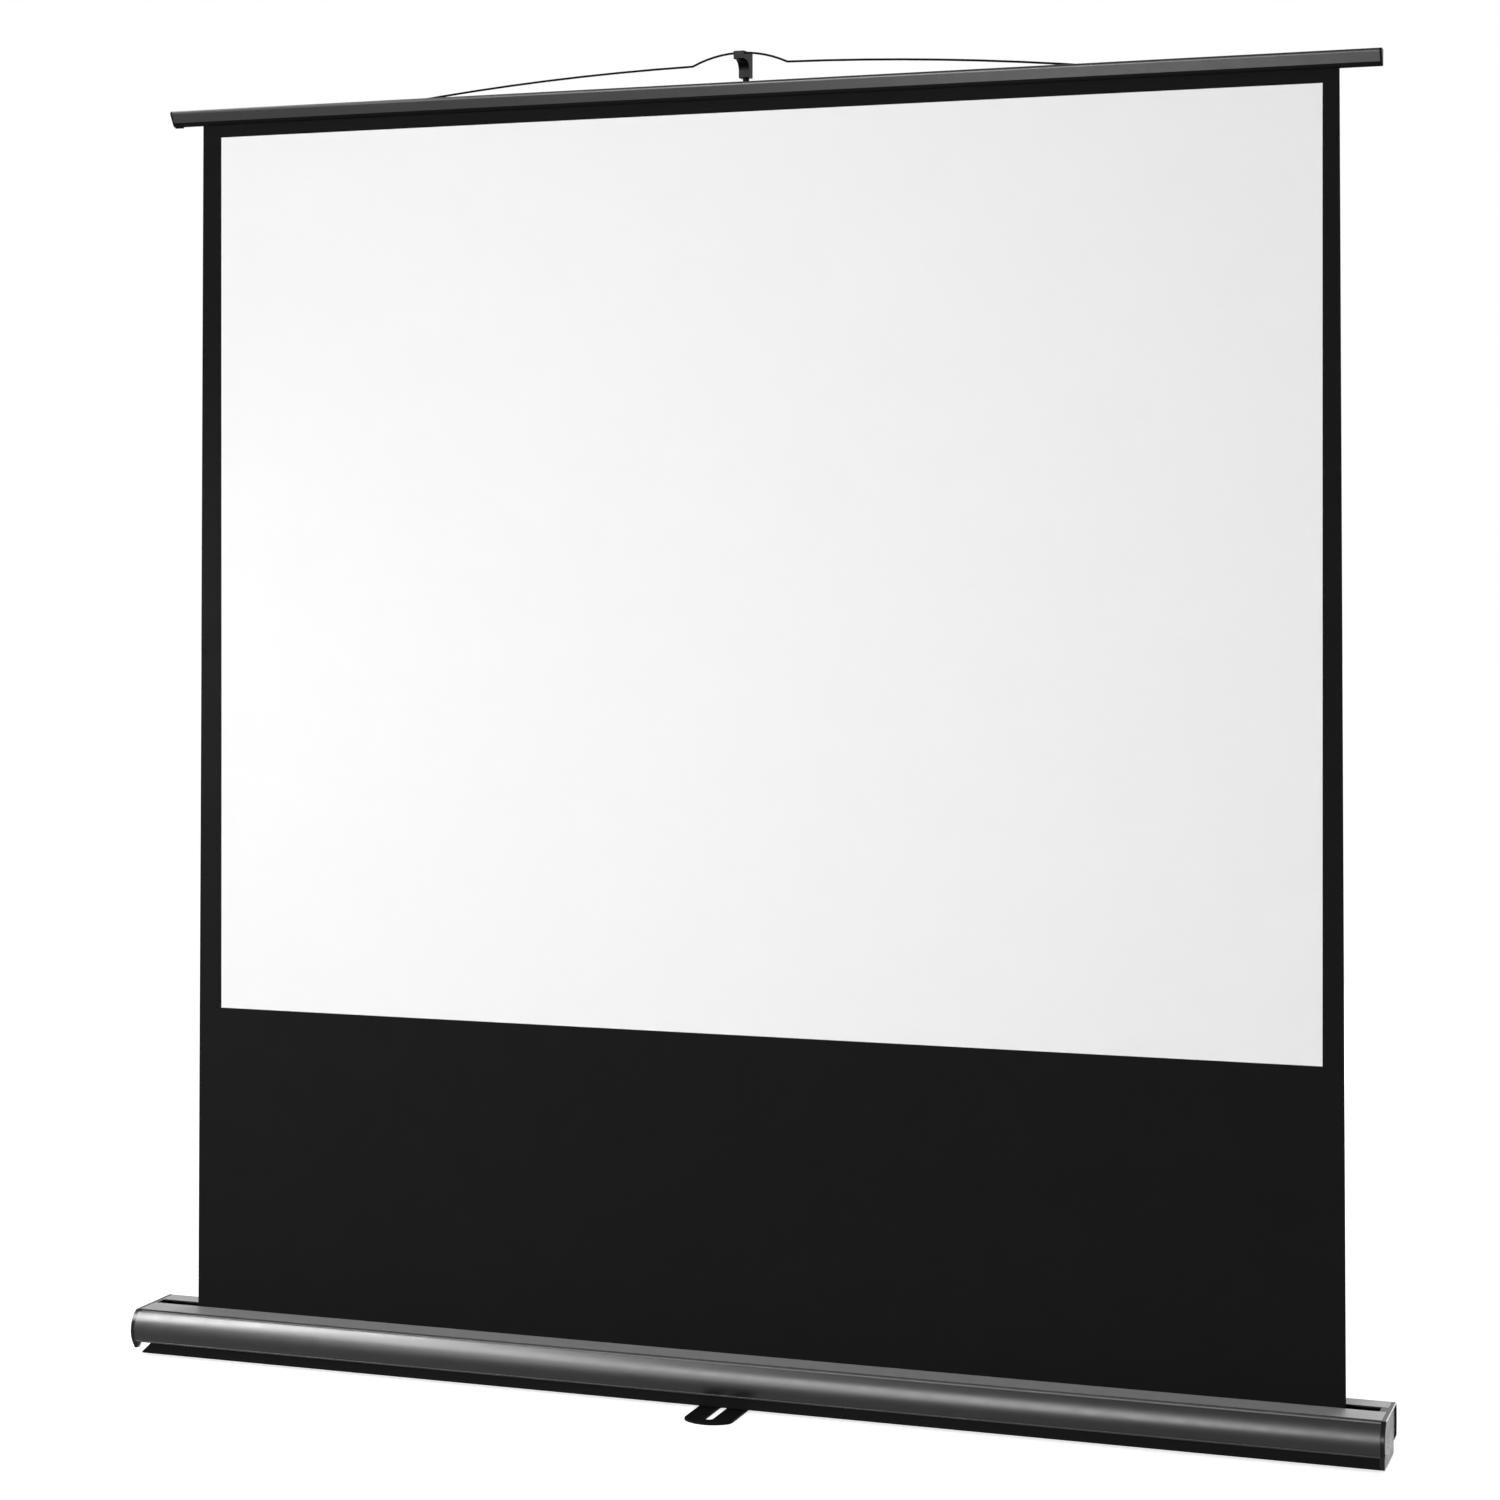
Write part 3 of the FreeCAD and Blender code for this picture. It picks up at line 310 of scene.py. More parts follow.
BLACK_ANODISED = Finish(
    "black_anodised_extrusion", (0.004, 0.004, 0.0042), (0.10, 0.10, 0.102), 0.36, 0.03,
    Grain.DRAWN_ALONG_X, 0.35 * MM, 0.002 * MM, specular=0.30, edge=0.5 * MM, wear_and_glint_strength=0.3, sheen=1.0,
)
SLAT_ANODISED = Finish(
    "black_anodised_slat", (0.004, 0.004, 0.0042), (0.08, 0.08, 0.082), 0.36, 0.03,
    Grain.DRAWN_ALONG_X, 0.35 * MM, 0.002 * MM, specular=0.36, edge=0.3 * MM, wear_and_glint_strength=0.3, sheen=0.15,
)
BLACK_ANODISED_TUBE = Finish(
    "black_anodised_tube", (0.005, 0.005, 0.0052), (0.10, 0.10, 0.102), 0.34, 0.03,
    Grain.DRAWN_ALONG_Z, 0.35 * MM, 0.003 * MM, specular=0.6, edge=0.3 * MM, wear_and_glint_strength=0.3,
)
# This powder-coat black also covers the slat's lip, where its dull darkness is painted shade under the
# slat.
POWDER_BLACK_AND_LIP_SHADE = Finish(
    "black_powder_coat_and_lip_shade", (0.002, 0.002, 0.0021), (0.02, 0.02, 0.021), 0.55, 0.06,
    Grain.POWDER, 1.1 * MM, 0.02 * MM, specular=0.04, edge=0.7 * MM,
)
MOULDED_BLACK = Finish(
    "black_moulded_plastic", (0.004, 0.004, 0.0042), (0.03, 0.03, 0.031), 0.32, 0.05,
    Grain.SPARKED, 0.45 * MM, 0.008 * MM, specular=0.4, edge=0.6 * MM,
)
# The end caps' light grey edge colour, strongly mixed in, is a painted highlight that stands in for the
# glint of light along the caps' bevelled edges.
CAP_BLACK = Finish(
    "black_moulded_cap", (0.003, 0.003, 0.0031), (0.30, 0.30, 0.302), 0.24, 0.04,
    Grain.SPARKED, 0.45 * MM, 0.004 * MM, specular=0.14, edge=0.7 * MM, wear_and_glint_strength=0.8,
)
HOOK_BLACK = Finish(
    "black_moulded_hook", (0.003, 0.003, 0.0031), (0.02, 0.02, 0.0205), 0.30, 0.04,
    Grain.SPARKED, 0.45 * MM, 0.006 * MM, specular=0.03, edge=0.5 * MM,
)
RUBBER_BLACK = Finish(
    "black_rubber_tip", (0.006, 0.006, 0.006), (0.02, 0.02, 0.02), 0.78, 0.06,
    Grain.RUBBED, 0.8 * MM, 0.04 * MM, specular=0.15,
)
ZINC_STEEL = Finish(
    "zinc_plated_steel", (0.46, 0.46, 0.47), (0.62, 0.62, 0.63), 0.34, 0.08,
    Grain.PLATED, 1.6 * MM, 0.006 * MM, metallic=1.0,
)
DARK_SCREW = Finish(
    "black_zinc_screw", (0.10, 0.10, 0.105), (0.38, 0.38, 0.39), 0.32, 0.06,
    Grain.PLATED, 0.6 * MM, 0.006 * MM, metallic=1.0, edge=0.15 * MM, wear_and_glint_strength=0.8,
)
MILL_ALUMINIUM = Finish(
    "mill_aluminium", (0.60, 0.60, 0.61), (0.75, 0.75, 0.76), 0.36, 0.06,
    Grain.DRAWN_ALONG_X, 0.3 * MM, 0.005 * MM, metallic=1.0,
)
BLACK_CLOTH = Finish(
    "black_coated_cloth", (0.0097, 0.0097, 0.0097), (0.0097, 0.0097, 0.0097), 0.85, 0.04,
    Grain.WOVEN, 0.55 * MM, 0.02 * MM, specular=0.01, tint_swing=0.03, edge=0.0,
)
WHITE_CLOTH = Finish(
    "white_projection_coat", (0.88, 0.88, 0.88), (0.88, 0.88, 0.88), 0.90, 0.03,
    Grain.BEADED, 0.6 * MM, 0.006 * MM, specular=0.12, tint_swing=0.003, edge=0.0,
)

SLOT_FINISH: dict[str, Finish] = {
    "black_anodised": BLACK_ANODISED,
    "black_steel": POWDER_BLACK_AND_LIP_SHADE,
    "black_plastic": MOULDED_BLACK,
    "black_rubber": RUBBER_BLACK,
    "zinc_steel": ZINC_STEEL,
    "dark_screw": DARK_SCREW,
    "plain_aluminium": MILL_ALUMINIUM,
    "black_cloth": BLACK_CLOTH,
    "white_cloth": WHITE_CLOTH,
}

NODE_FINISH: dict[str, Finish] = {
    "mast_lower_tube": BLACK_ANODISED_TUBE,
    "mast_middle_tube": BLACK_ANODISED_TUBE,
    "mast_top_tube": BLACK_ANODISED_TUBE,
    "top_slat": SLAT_ANODISED,
    "slat_cap_left": HOOK_BLACK,
    "slat_cap_right": HOOK_BLACK,
    "mast_hook": HOOK_BLACK,
    "left_end_cap": CAP_BLACK,
    "right_end_cap": CAP_BLACK,
}


def dress_frame() -> None:
    """Gives every CAD node its own finish or that of its material slot."""
    slots = {part["node"]: part["material_slot"] for part in frame["record"]["subparts"]}
    for name, node in frame["nodes"].items():
        finish = NODE_FINISH.get(name, SLOT_FINISH[slots[name]])
        node.data.materials.clear()
        node.data.materials.append(finish.material())


# Mesh building

def make_piece(name: str, mesh: bpy.types.Mesh, finish: Finish,
               smooth_angle: float = FLAT_ANGLE) -> bpy.types.Object:
    """Puts a mesh into the scene as a piece at the origin.

    Args:
        name: name of the piece.
        mesh: its mesh, in the row frame.
        finish: its finish.
        smooth_angle: edges flatter than this, in degrees, are shaded smooth.

    Returns:
        The new object.
    """
    mesh.name = name
    piece = bpy.data.objects.new(name, mesh)
    bpy.context.scene.collection.objects.link(piece)
    mesh.materials.clear()
    mesh.materials.append(finish.material())
    mesh.polygons.foreach_set("use_smooth", [True] * len(mesh.polygons))
    mesh.set_sharp_from_angle(angle=math.radians(smooth_angle))
    log.info("piece %s with %d faces", name, len(mesh.polygons))
    return piece


def closed_mesh(verts: Sequence[Point], faces: Sequence[Sequence[int]]) -> bpy.types.Mesh:
    """A mesh with doubles merged and faces turned outwards.

    Args:
        verts: points in the row frame.
        faces: indices of each face's points.

    Returns:
        The new mesh.
    """
    mesh = bpy.data.meshes.new("closed")
    mesh.from_pydata([tuple(v) for v in verts], [], [tuple(f) for f in faces])
    work = bmesh.new()
    work.from_mesh(mesh)
    bmesh.ops.remove_doubles(work, verts=work.verts, dist=FINE_WELD)
    bmesh.ops.recalc_face_normals(work, faces=work.faces)
    work.to_mesh(mesh)
    work.free()
    return mesh


def slab(up: Sequence[float], across: Callable[[float], list[float]],
         front: Callable[[float, float], float], thick: float) -> bpy.types.Mesh:
    """A thin closed sheet over a grid of X and Z places.

    Args:
        up: Z of each row.
        across: X of each place in the row at a Z.
        front: Y of the front face at an X and Z.
        thick: thickness towards +Y.

    Returns:
        The new mesh.
    """
    places = [(x, z) for z in up for x in across(z)]
    rows = len(up)
    columns = len(places) // rows
    verts = [(x, front(x, z), z) for x, z in places]
    verts += [(x, front(x, z) + thick, z) for x, z in places]
    back = len(places)

    def cell(i: int, j: int) -> list[int]:
        """The four points around the cell in column i and row j."""
        corner = j * columns + i
        return [corner, corner + 1, corner + columns + 1, corner + columns]

    cells = [cell(i, j) for j in range(rows - 1) for i in range(columns - 1)]
    faces = cells + [[back + v for v in reversed(c)] for c in cells]
    rim = list(range(columns)) + [j * columns + columns - 1 for j in range(1, rows)]
    rim += list(range(rows * columns - 2, (rows - 1) * columns - 1, -1))
    rim += [j * columns for j in range(rows - 2, 0, -1)]
    for a, b in zip(rim, rim[1:] + rim[:1]):
        faces.append([b, a, back + a, back + b])
    return closed_mesh(verts, faces)


def steps(low: float, high: float, count: int) -> list[float]:
    """Evenly spaced places from low to high, both ends included."""
    return [low + (high - low) * i / count for i in range(count + 1)]


def ring_cells(rings: int, size: int) -> list[list[int]]:
    """The four-sided faces between closed rings of points.

    Args:
        rings: how many rings there are.
        size: points in each ring.

    Returns:
        Indices of each face's points, ring by ring.
    """
    faces = []
    for start in range(0, (rings - 1) * size, size):
        for k in range(size):
            after = (k + 1) % size
            faces.append([start + k, start + after, start + size + after, start + size + k])
    return faces


def lathe(profile: Sequence[tuple[float, float]], sides: int) -> bpy.types.Mesh:
    """A closed turned shape about Z.

    Args:
        profile: radius and height of each ring, from the middle of the top to the middle of the bottom.
        sides: how many sides it has.

    Returns:
        The new mesh.
    """
    turns = [2.0 * math.pi * k / sides for k in range(sides)]
    verts = [(r * math.cos(a), r * math.sin(a), z) for r, z in profile for a in turns]
    return closed_mesh(verts, ring_cells(len(profile), sides))


def prism(outline: Sequence[tuple[float, float]], low: float, high: float) -> bpy.types.Mesh:
    """A closed prism along Z over an outline.

    Args:
        outline: X and Y of the corners in order.
        low: height of its bottom.
        high: height of its top.

    Returns:
        The new mesh.
    """
    count = len(outline)
    verts = [(x, y, z) for z in (low, high) for x, y in outline]
    faces = [list(range(count)), [count + k for k in range(count)]]
    faces += [[k, (k + 1) % count, count + (k + 1) % count, count + k] for k in range(count)]
    return closed_mesh(verts, faces)


def solids_of(node: str) -> list[tuple[Vector, Vector]]:
    """Finds the separate solids of a CAD node.

    Args:
        node: name of the node.

    Returns:
        Lowest and highest corner of each solid, in the order of their places.
    """
    work = bmesh.new()
    work.from_mesh(frame["nodes"][node].data)
    bmesh.ops.remove_doubles(work, verts=work.verts, dist=WELD)
    waiting = set(work.verts)
    boxes = []
    while waiting:
        reached = [waiting.pop()]
        for vert in reached:
            near = {edge.other_vert(vert) for edge in vert.link_edges} & waiting
            waiting -= near
            reached.extend(near)
        low = Vector([min(v.co[axis] for v in reached) for axis in range(3)])
        high = Vector([max(v.co[axis] for v in reached) for axis in range(3)])
        boxes.append((low, high))
    work.free()
    return sorted(boxes, key=lambda box: tuple(box[0]))


# Geometry Nodes

class Rule:
    """A Geometry Nodes tree with named inputs, baked into a plain mesh."""

    def __init__(self, name: str, inputs: dict[str, str]) -> None:
        """Starts a tree.

        Args:
            name: name of the tree.
            inputs: socket type of each named input.
        """
        self.tree = bpy.data.node_groups.new(name, "GeometryNodeTree")
        for label, kind in {**inputs, "Material": "NodeSocketMaterial"}.items():
            self.tree.interface.new_socket(label, in_out="INPUT", socket_type=kind)
        self.tree.interface.new_socket("Shape", in_out="OUTPUT", socket_type="NodeSocketGeometry")
        self.sketch = Sketch(self.tree)
        self.given = self.tree.nodes.new("NodeGroupInput").outputs

    def close(self, shape: Socket) -> None:
        """Ends the tree with its instances made real and in one material."""
        solid = self.sketch.add("GeometryNodeRealizeInstances", {"Geometry": shape}).outputs[0]
        coat = {"Geometry": solid, "Material": self.given["Material"]}
        dressed = self.sketch.add("GeometryNodeSetMaterial", coat)
        self.sketch.feed(self.tree.nodes.new("NodeGroupOutput").inputs[0], dressed.outputs[0])

    def bake(self, finish: Finish, values: dict[str, object],
             seeds: bpy.types.Mesh | None = None) -> bpy.types.Mesh:
        """Runs the tree once.

        Args:
            finish: finish of the result.
            values: value of each named input.
            seeds: mesh that the tree starts from, where it has one.

        Returns:
            The result as a plain mesh.
        """
        holder = bpy.data.objects.new("holder", seeds or bpy.data.meshes.new("holder"))
        bpy.context.scene.collection.objects.link(holder)
        modifier = holder.modifiers.new("rule", "NODES")
        modifier.node_group = self.tree
        wanted = {**values, "Material": finish.material()}
        for item in self.tree.interface.items_tree:
            if item.in_out == "INPUT" and item.name in wanted:
                modifier[item.identifier] = wanted[item.name]
        mesh = bpy.data.meshes.new_from_object(holder.evaluated_get(bpy.context.evaluated_depsgraph_get()))
        holder.modifiers.remove(modifier)
        bpy.data.objects.remove(holder)
        return mesh


# Slat

@dataclass
class TopSlat:
    """The slat's extrusion, with its lip in a duller, darker black that paints in the shade where the cloth
    goes in.

    Attributes:
        lip: height of the lip above the slat's lower edge.
        slack: how far above that a face of the lip may reach.
    """

    lip: float = 5.5 * MM
    slack: float = 0.2 * MM

    def build(self) -> None:
        """Copies the extrusion and gives its lip the duller black finish, as painted shade."""
        work = bmesh.new()
        work.from_mesh(frame["nodes"]["top_slat"].data)
        bmesh.ops.remove_doubles(work, verts=work.verts, dist=WELD)
        mesh = bpy.data.meshes.new("slat_extrusion")
        work.to_mesh(mesh)
        work.free()
        piece = make_piece("slat_extrusion", mesh, SLAT_ANODISED)
        # The lip gets the duller, darker black finish, which paints in the shade under the slat where the
        # cloth goes in.
        mesh.materials.append(POWDER_BLACK_AND_LIP_SHADE.material())
        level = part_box("top_slat")[0].z + self.lip + self.slack
        for face in mesh.polygons:
            face.material_index = int(max(mesh.vertices[v].co.z for v in face.vertices) < level)
        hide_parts("top_slat")
        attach(piece, "screen_bar")


# Screws

@dataclass
class Fasteners:
    """Pan-head screws with a cross recess, at the places of the CAD screws.

    Attributes:
        radius: radius of a head.
        height: height of a head.
        shank: radius of the shank under it.
        stub: length of shank that is made.
        arm: half the length of the recess's arms.
        arm_width: half the width of an arm.
        depth: depth of the recess.
        slack: how far, in radians, the recesses are turned at random.
        seed: seed of those turns.
        sides: sides of a head.
        crown: radius and drop of the rounded top, as shares of the head's radius and height.
    """

    radius: float = 3.2 * MM
    height: float = 2.0 * MM
    shank: float = 1.6 * MM
    stub: float = 1.5 * MM
    arm: float = 1.75 * MM
    arm_width: float = 0.42 * MM
    depth: float = 1.1 * MM
    slack: float = 1.5
    seed: int = 7
    sides: int = 28
    crown: tuple[tuple[float, float], ...] = (
        (0.0, 0.0), (0.45, 0.01), (0.72, 0.09), (0.88, 0.26), (0.97, 0.52), (1.0, 0.8),
    )

    def head(self) -> bpy.types.Object:
        """One head that points along +Z, with its top at the origin."""
        r, h = self.radius, self.height
        profile = [(share * r, -drop * h) for share, drop in self.crown]
        profile += [(r, -h), (self.shank, -h)]
        profile += [(self.shank, -h - self.stub), (0.0, -h - self.stub)]
        blank = bpy.data.objects.new("screw_blank", lathe(profile, self.sides))
        a, w = self.arm, self.arm_width
        cross = [(w, w), (w, a), (-w, a), (-w, w), (-a, w), (-a, -w)]
        cross += [(-x, -y) for x, y in cross]
        bit = bpy.data.objects.new("screw_bit", prism(cross, -self.depth, h))
        for made in (blank, bit):
            bpy.context.scene.collection.objects.link(made)
        cut = blank.modifiers.new("recess", "BOOLEAN")
        cut.object = bit
        cut.operation = "DIFFERENCE"
        graph = bpy.context.evaluated_depsgraph_get()
        mesh = bpy.data.meshes.new_from_object(blank.evaluated_get(graph))
        for made in (blank, bit):
            bpy.data.objects.remove(made)
        head = bpy.data.objects.new("screw_head", mesh)
        bpy.context.scene.collection.objects.link(head)
        return head

    def rule(self) -> Rule:
        """The tree that puts a head at each place and turns it outwards."""
        inputs = {"Places": "NodeSocketGeometry", "Head": "NodeSocketObject", "Slack": "NodeSocketFloat"}
        rule = Rule("screw_rule", inputs)
        draw = rule.sketch
        head = draw.add("GeometryNodeObjectInfo", {"Object": rule.given["Head"]}).outputs["Geometry"]
        named = draw.add("GeometryNodeInputNamedAttribute", {"Name": "aim"}, data_type="FLOAT_VECTOR")
        aim = {"Vector": named.outputs[0]}
        facing = draw.add("FunctionNodeAlignRotationToVector", aim, axis="Z").outputs[0]
        chance = {3: rule.given["Slack"], "Seed": self.seed}
        turn = draw.add("FunctionNodeRandomValue", chance, data_type="FLOAT").outputs[1]
        about = draw.add("ShaderNodeCombineXYZ", {"Z": turn}).outputs[0]
        spin = draw.add("FunctionNodeEulerToRotation", {0: about}).outputs[0]
        both = {0: facing, 1: spin}
        turned = draw.add("FunctionNodeRotateRotation", both, rotation_space="LOCAL").outputs[0]
        placed = {"Points": rule.given["Places"], "Instance": head, "Rotation": turned}
        rule.close(draw.add("GeometryNodeInstanceOnPoints", placed).outputs[0])
        return rule

    def seeds(self, node: str, outward: Callable[[Vector], Vector]) -> bpy.types.Mesh:
        """Marks where a node's heads are.

        Args:
            node: name of the CAD node.
            outward: which way a screw at a place faces.

        Returns:
            A mesh with a point on top of each head and the way it faces.
        """
        tops = []
        aims = []
        for low, high in solids_of(node):
            middle = (low + high) / 2
            aim = outward(middle)
            reach = (high - low) / 2
            tops.append(middle + Vector([a * r for a, r in zip(aim, reach)]))
            aims.extend(aim)
        mesh = bpy.data.meshes.new(node + "_places")
        mesh.from_pydata(tops, [], [])
        mesh.attributes.new("aim", "FLOAT_VECTOR", "POINT").data.foreach_set("vector", aims)
        return mesh

    def build(self) -> None:
        """Makes the screws of every joint, one piece for each CAD node."""
        ways: dict[str, Callable[[Vector], Vector]] = {
            "end_cap_screws": lambda place: Vector((math.copysign(1.0, place.x), 0.0, 0.0)),
            "mast_bracket_screws": lambda place: Vector((0.0, 0.0, 1.0)),
            "handle_screws": lambda place: Vector((0.0, 1.0, 0.0)),
            "bail_anchor_screws": lambda place: Vector((0.0, 1.0, 0.0)),
            "rail_screws": lambda place: Vector((0.0, 0.0, -1.0)),
        }
        head = self.head()
        rule = self.rule()
        for node, outward in ways.items():
            slot = "zinc_steel" if node == "rail_screws" else "dark_screw"
            finish = SLOT_FINISH[slot]
            values = {"Head": head, "Slack": self.slack}
            mesh = rule.bake(finish, values, self.seeds(node, outward))
            piece = make_piece(node + "_heads", mesh, finish)
            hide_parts(node)
            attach(piece, "screen_bar" if node == "bail_anchor_screws" else "case")
        bpy.data.objects.remove(head)


# Roller

@dataclass
class SpringRoller:
    """The torsion spring in the roller and the turns of cloth left on it.

    Attributes:
        bore: radius of the spring's bore.
        coil_gap: space between the spring's coils.
        coil_steps: points along one coil.
        coil_sides: sides of the wire.
        cloth_thick: thickness of the wound cloth.
        layer: how far one turn of cloth lies above the last.
        turn_steps: cells around one turn.
        columns: cells along the roller.
    """

    bore: float = 4.5 * MM
    coil_gap: float = 0.06 * MM
    coil_steps: int = 20
    coil_sides: int = 8
    cloth_thick: float = 0.30 * MM
    layer: float = 0.35 * MM
    turn_steps: int = 64
    columns: int = 12

    def spring(self) -> None:
        """Makes the close-wound spring."""
        low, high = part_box("roller_spring")
        outer = (high.z - low.z) / 2
        wire = (outer - self.bore) / 2
        length = high.x - low.x - 2 * wire
        inputs = {
            "Turns": "NodeSocketFloat", "Coil Radius": "NodeSocketFloat", "Length": "NodeSocketFloat",
            "Wire Radius": "NodeSocketFloat", "Start": "NodeSocketVector",
        }
        rule = Rule("spring_rule", inputs)
        draw = rule.sketch
        coil = {
            "Resolution": self.coil_steps, "Rotations": rule.given["Turns"], "Height": rule.given["Length"],
            "Start Radius": rule.given["Coil Radius"], "End Radius": rule.given["Coil Radius"],
        }
        spiral = draw.add("GeometryNodeCurveSpiral", coil).outputs[0]
        round_wire = {"Resolution": self.coil_sides, "Radius": rule.given["Wire Radius"]}
        ring = draw.add("GeometryNodeCurvePrimitiveCircle", round_wire).outputs[0]
        sweep = {"Curve": spiral, "Profile Curve": ring, "Fill Caps": True}
        tube = draw.add("GeometryNodeCurveToMesh", sweep).outputs[0]
        lay = {"Geometry": tube, "Translation": rule.given["Start"], "Rotation": Z_TO_X}
        rule.close(draw.add("GeometryNodeTransform", lay).outputs[0])
        values = {
            "Turns": length / (2 * wire + self.coil_gap), "Coil Radius": self.bore + wire,
            "Length": length, "Wire Radius": wire,
            "Start": (low.x + wire, (low.y + high.y) / 2, (low.z + high.z) / 2),
        }
        piece = make_piece("torsion_spring", rule.bake(ZINC_STEEL, values), ZINC_STEEL, ROUND_ANGLE)
        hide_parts("roller_spring")
        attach(piece, "case")

    def wraps(self) -> None:
        """Makes the turns of cloth that stay on the roller."""
        low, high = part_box("cloth_wraps")
        centre = (low + high) / 2
        outer = (high.z - low.z) / 2
        inner = (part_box("roller_tube")[1].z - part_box("roller_tube")[0].z) / 2
        turns = (outer - inner) / self.layer
        count = int(self.turn_steps * turns)

        def spot(step: int, lift: float) -> tuple[float, float]:
            """Y and Z of a step along the spiral, lifted off its inner face."""
            angle = 2 * math.pi * step / self.turn_steps
            radius = outer - self.layer * step / self.turn_steps - self.cloth_thick + lift
            return centre.y + radius * math.cos(angle), centre.z + radius * math.sin(angle)

        inside = [spot(step, 0.0) for step in range(count + 1)]
        outside = [spot(step, self.cloth_thick) for step in range(count + 1)]
        loop = outside + inside[::-1]
        across = steps(low.x, high.x, self.columns)
        verts = [(x, y, z) for x in across for y, z in loop]
        size = len(loop)
        faces = ring_cells(len(across), size)
        for start in (0, (len(across) - 1) * size):
            end = start + size - 1
            faces += [[start + k, start + k + 1, end - 1 - k, end - k] for k in range(count)]
        piece = make_piece("wound_cloth", closed_mesh(verts, faces), BLACK_CLOTH, ROUND_ANGLE)
        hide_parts("cloth_wraps")
        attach(piece, "roller")

    def build(self) -> None:
        """Makes the spring and the wound cloth."""
        self.spring()
        self.wraps()


# Carry handle

@dataclass
class HandleGrip:
    """The ribbed sleeve of the carry handle.

    Attributes:
        ribs: how many ribs the sleeve has.
        span: length of the ribbed part.
        radius: radius of the grip under the ribs.
        rib: radius of a rib's rounded back.
        sides: sides of the grip.
        rib_sides: sides of a rib's section.
    """

    ribs: int = 23
    span: float = 88.0 * MM
    radius: float = 6.8 * MM
    rib: float = 0.55 * MM
    sides: int = 40
    rib_sides: int = 10

    def build(self) -> None:
        """Makes the ribs around the grip."""
        low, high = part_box("carry_handle")
        left = (low.x + high.x - self.span) / 2
        start = Vector((left, (low.y + high.y) / 2, low.z + (high.y - low.y) / 2))
        inputs = {
            "Count": "NodeSocketInt", "Start": "NodeSocketVector", "Pitch": "NodeSocketVector",
            "Grip Radius": "NodeSocketFloat", "Rib Radius": "NodeSocketFloat",
        }
        rule = Rule("grip_rule", inputs)
        draw = rule.sketch
        row = {
            "Count": rule.given["Count"], "Start Location": rule.given["Start"],
            "Offset": rule.given["Pitch"],
        }
        places = draw.add("GeometryNodeMeshLine", row).outputs[0]
        grip = {"Resolution": self.sides, "Radius": rule.given["Grip Radius"]}
        loop = draw.add("GeometryNodeCurvePrimitiveCircle", grip).outputs[0]
        section = {"Resolution": self.rib_sides, "Radius": rule.given["Rib Radius"]}
        back = draw.add("GeometryNodeCurvePrimitiveCircle", section).outputs[0]
        ring = draw.add("GeometryNodeCurveToMesh", {"Curve": loop, "Profile Curve": back}).outputs[0]
        placed = {"Points": places, "Instance": ring, "Rotation": Z_TO_X}
        rule.close(draw.add("GeometryNodeInstanceOnPoints", placed).outputs[0])
        values = {
            "Count": self.ribs, "Start": start, "Pitch": (self.span / (self.ribs - 1), 0.0, 0.0),
            "Grip Radius": self.radius, "Rib Radius": self.rib,
        }
        piece = make_piece("grip_ribs", rule.bake(RUBBER_BLACK, values), RUBBER_BLACK, ROUND_ANGLE)
        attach(piece, "handle")


# Cloth

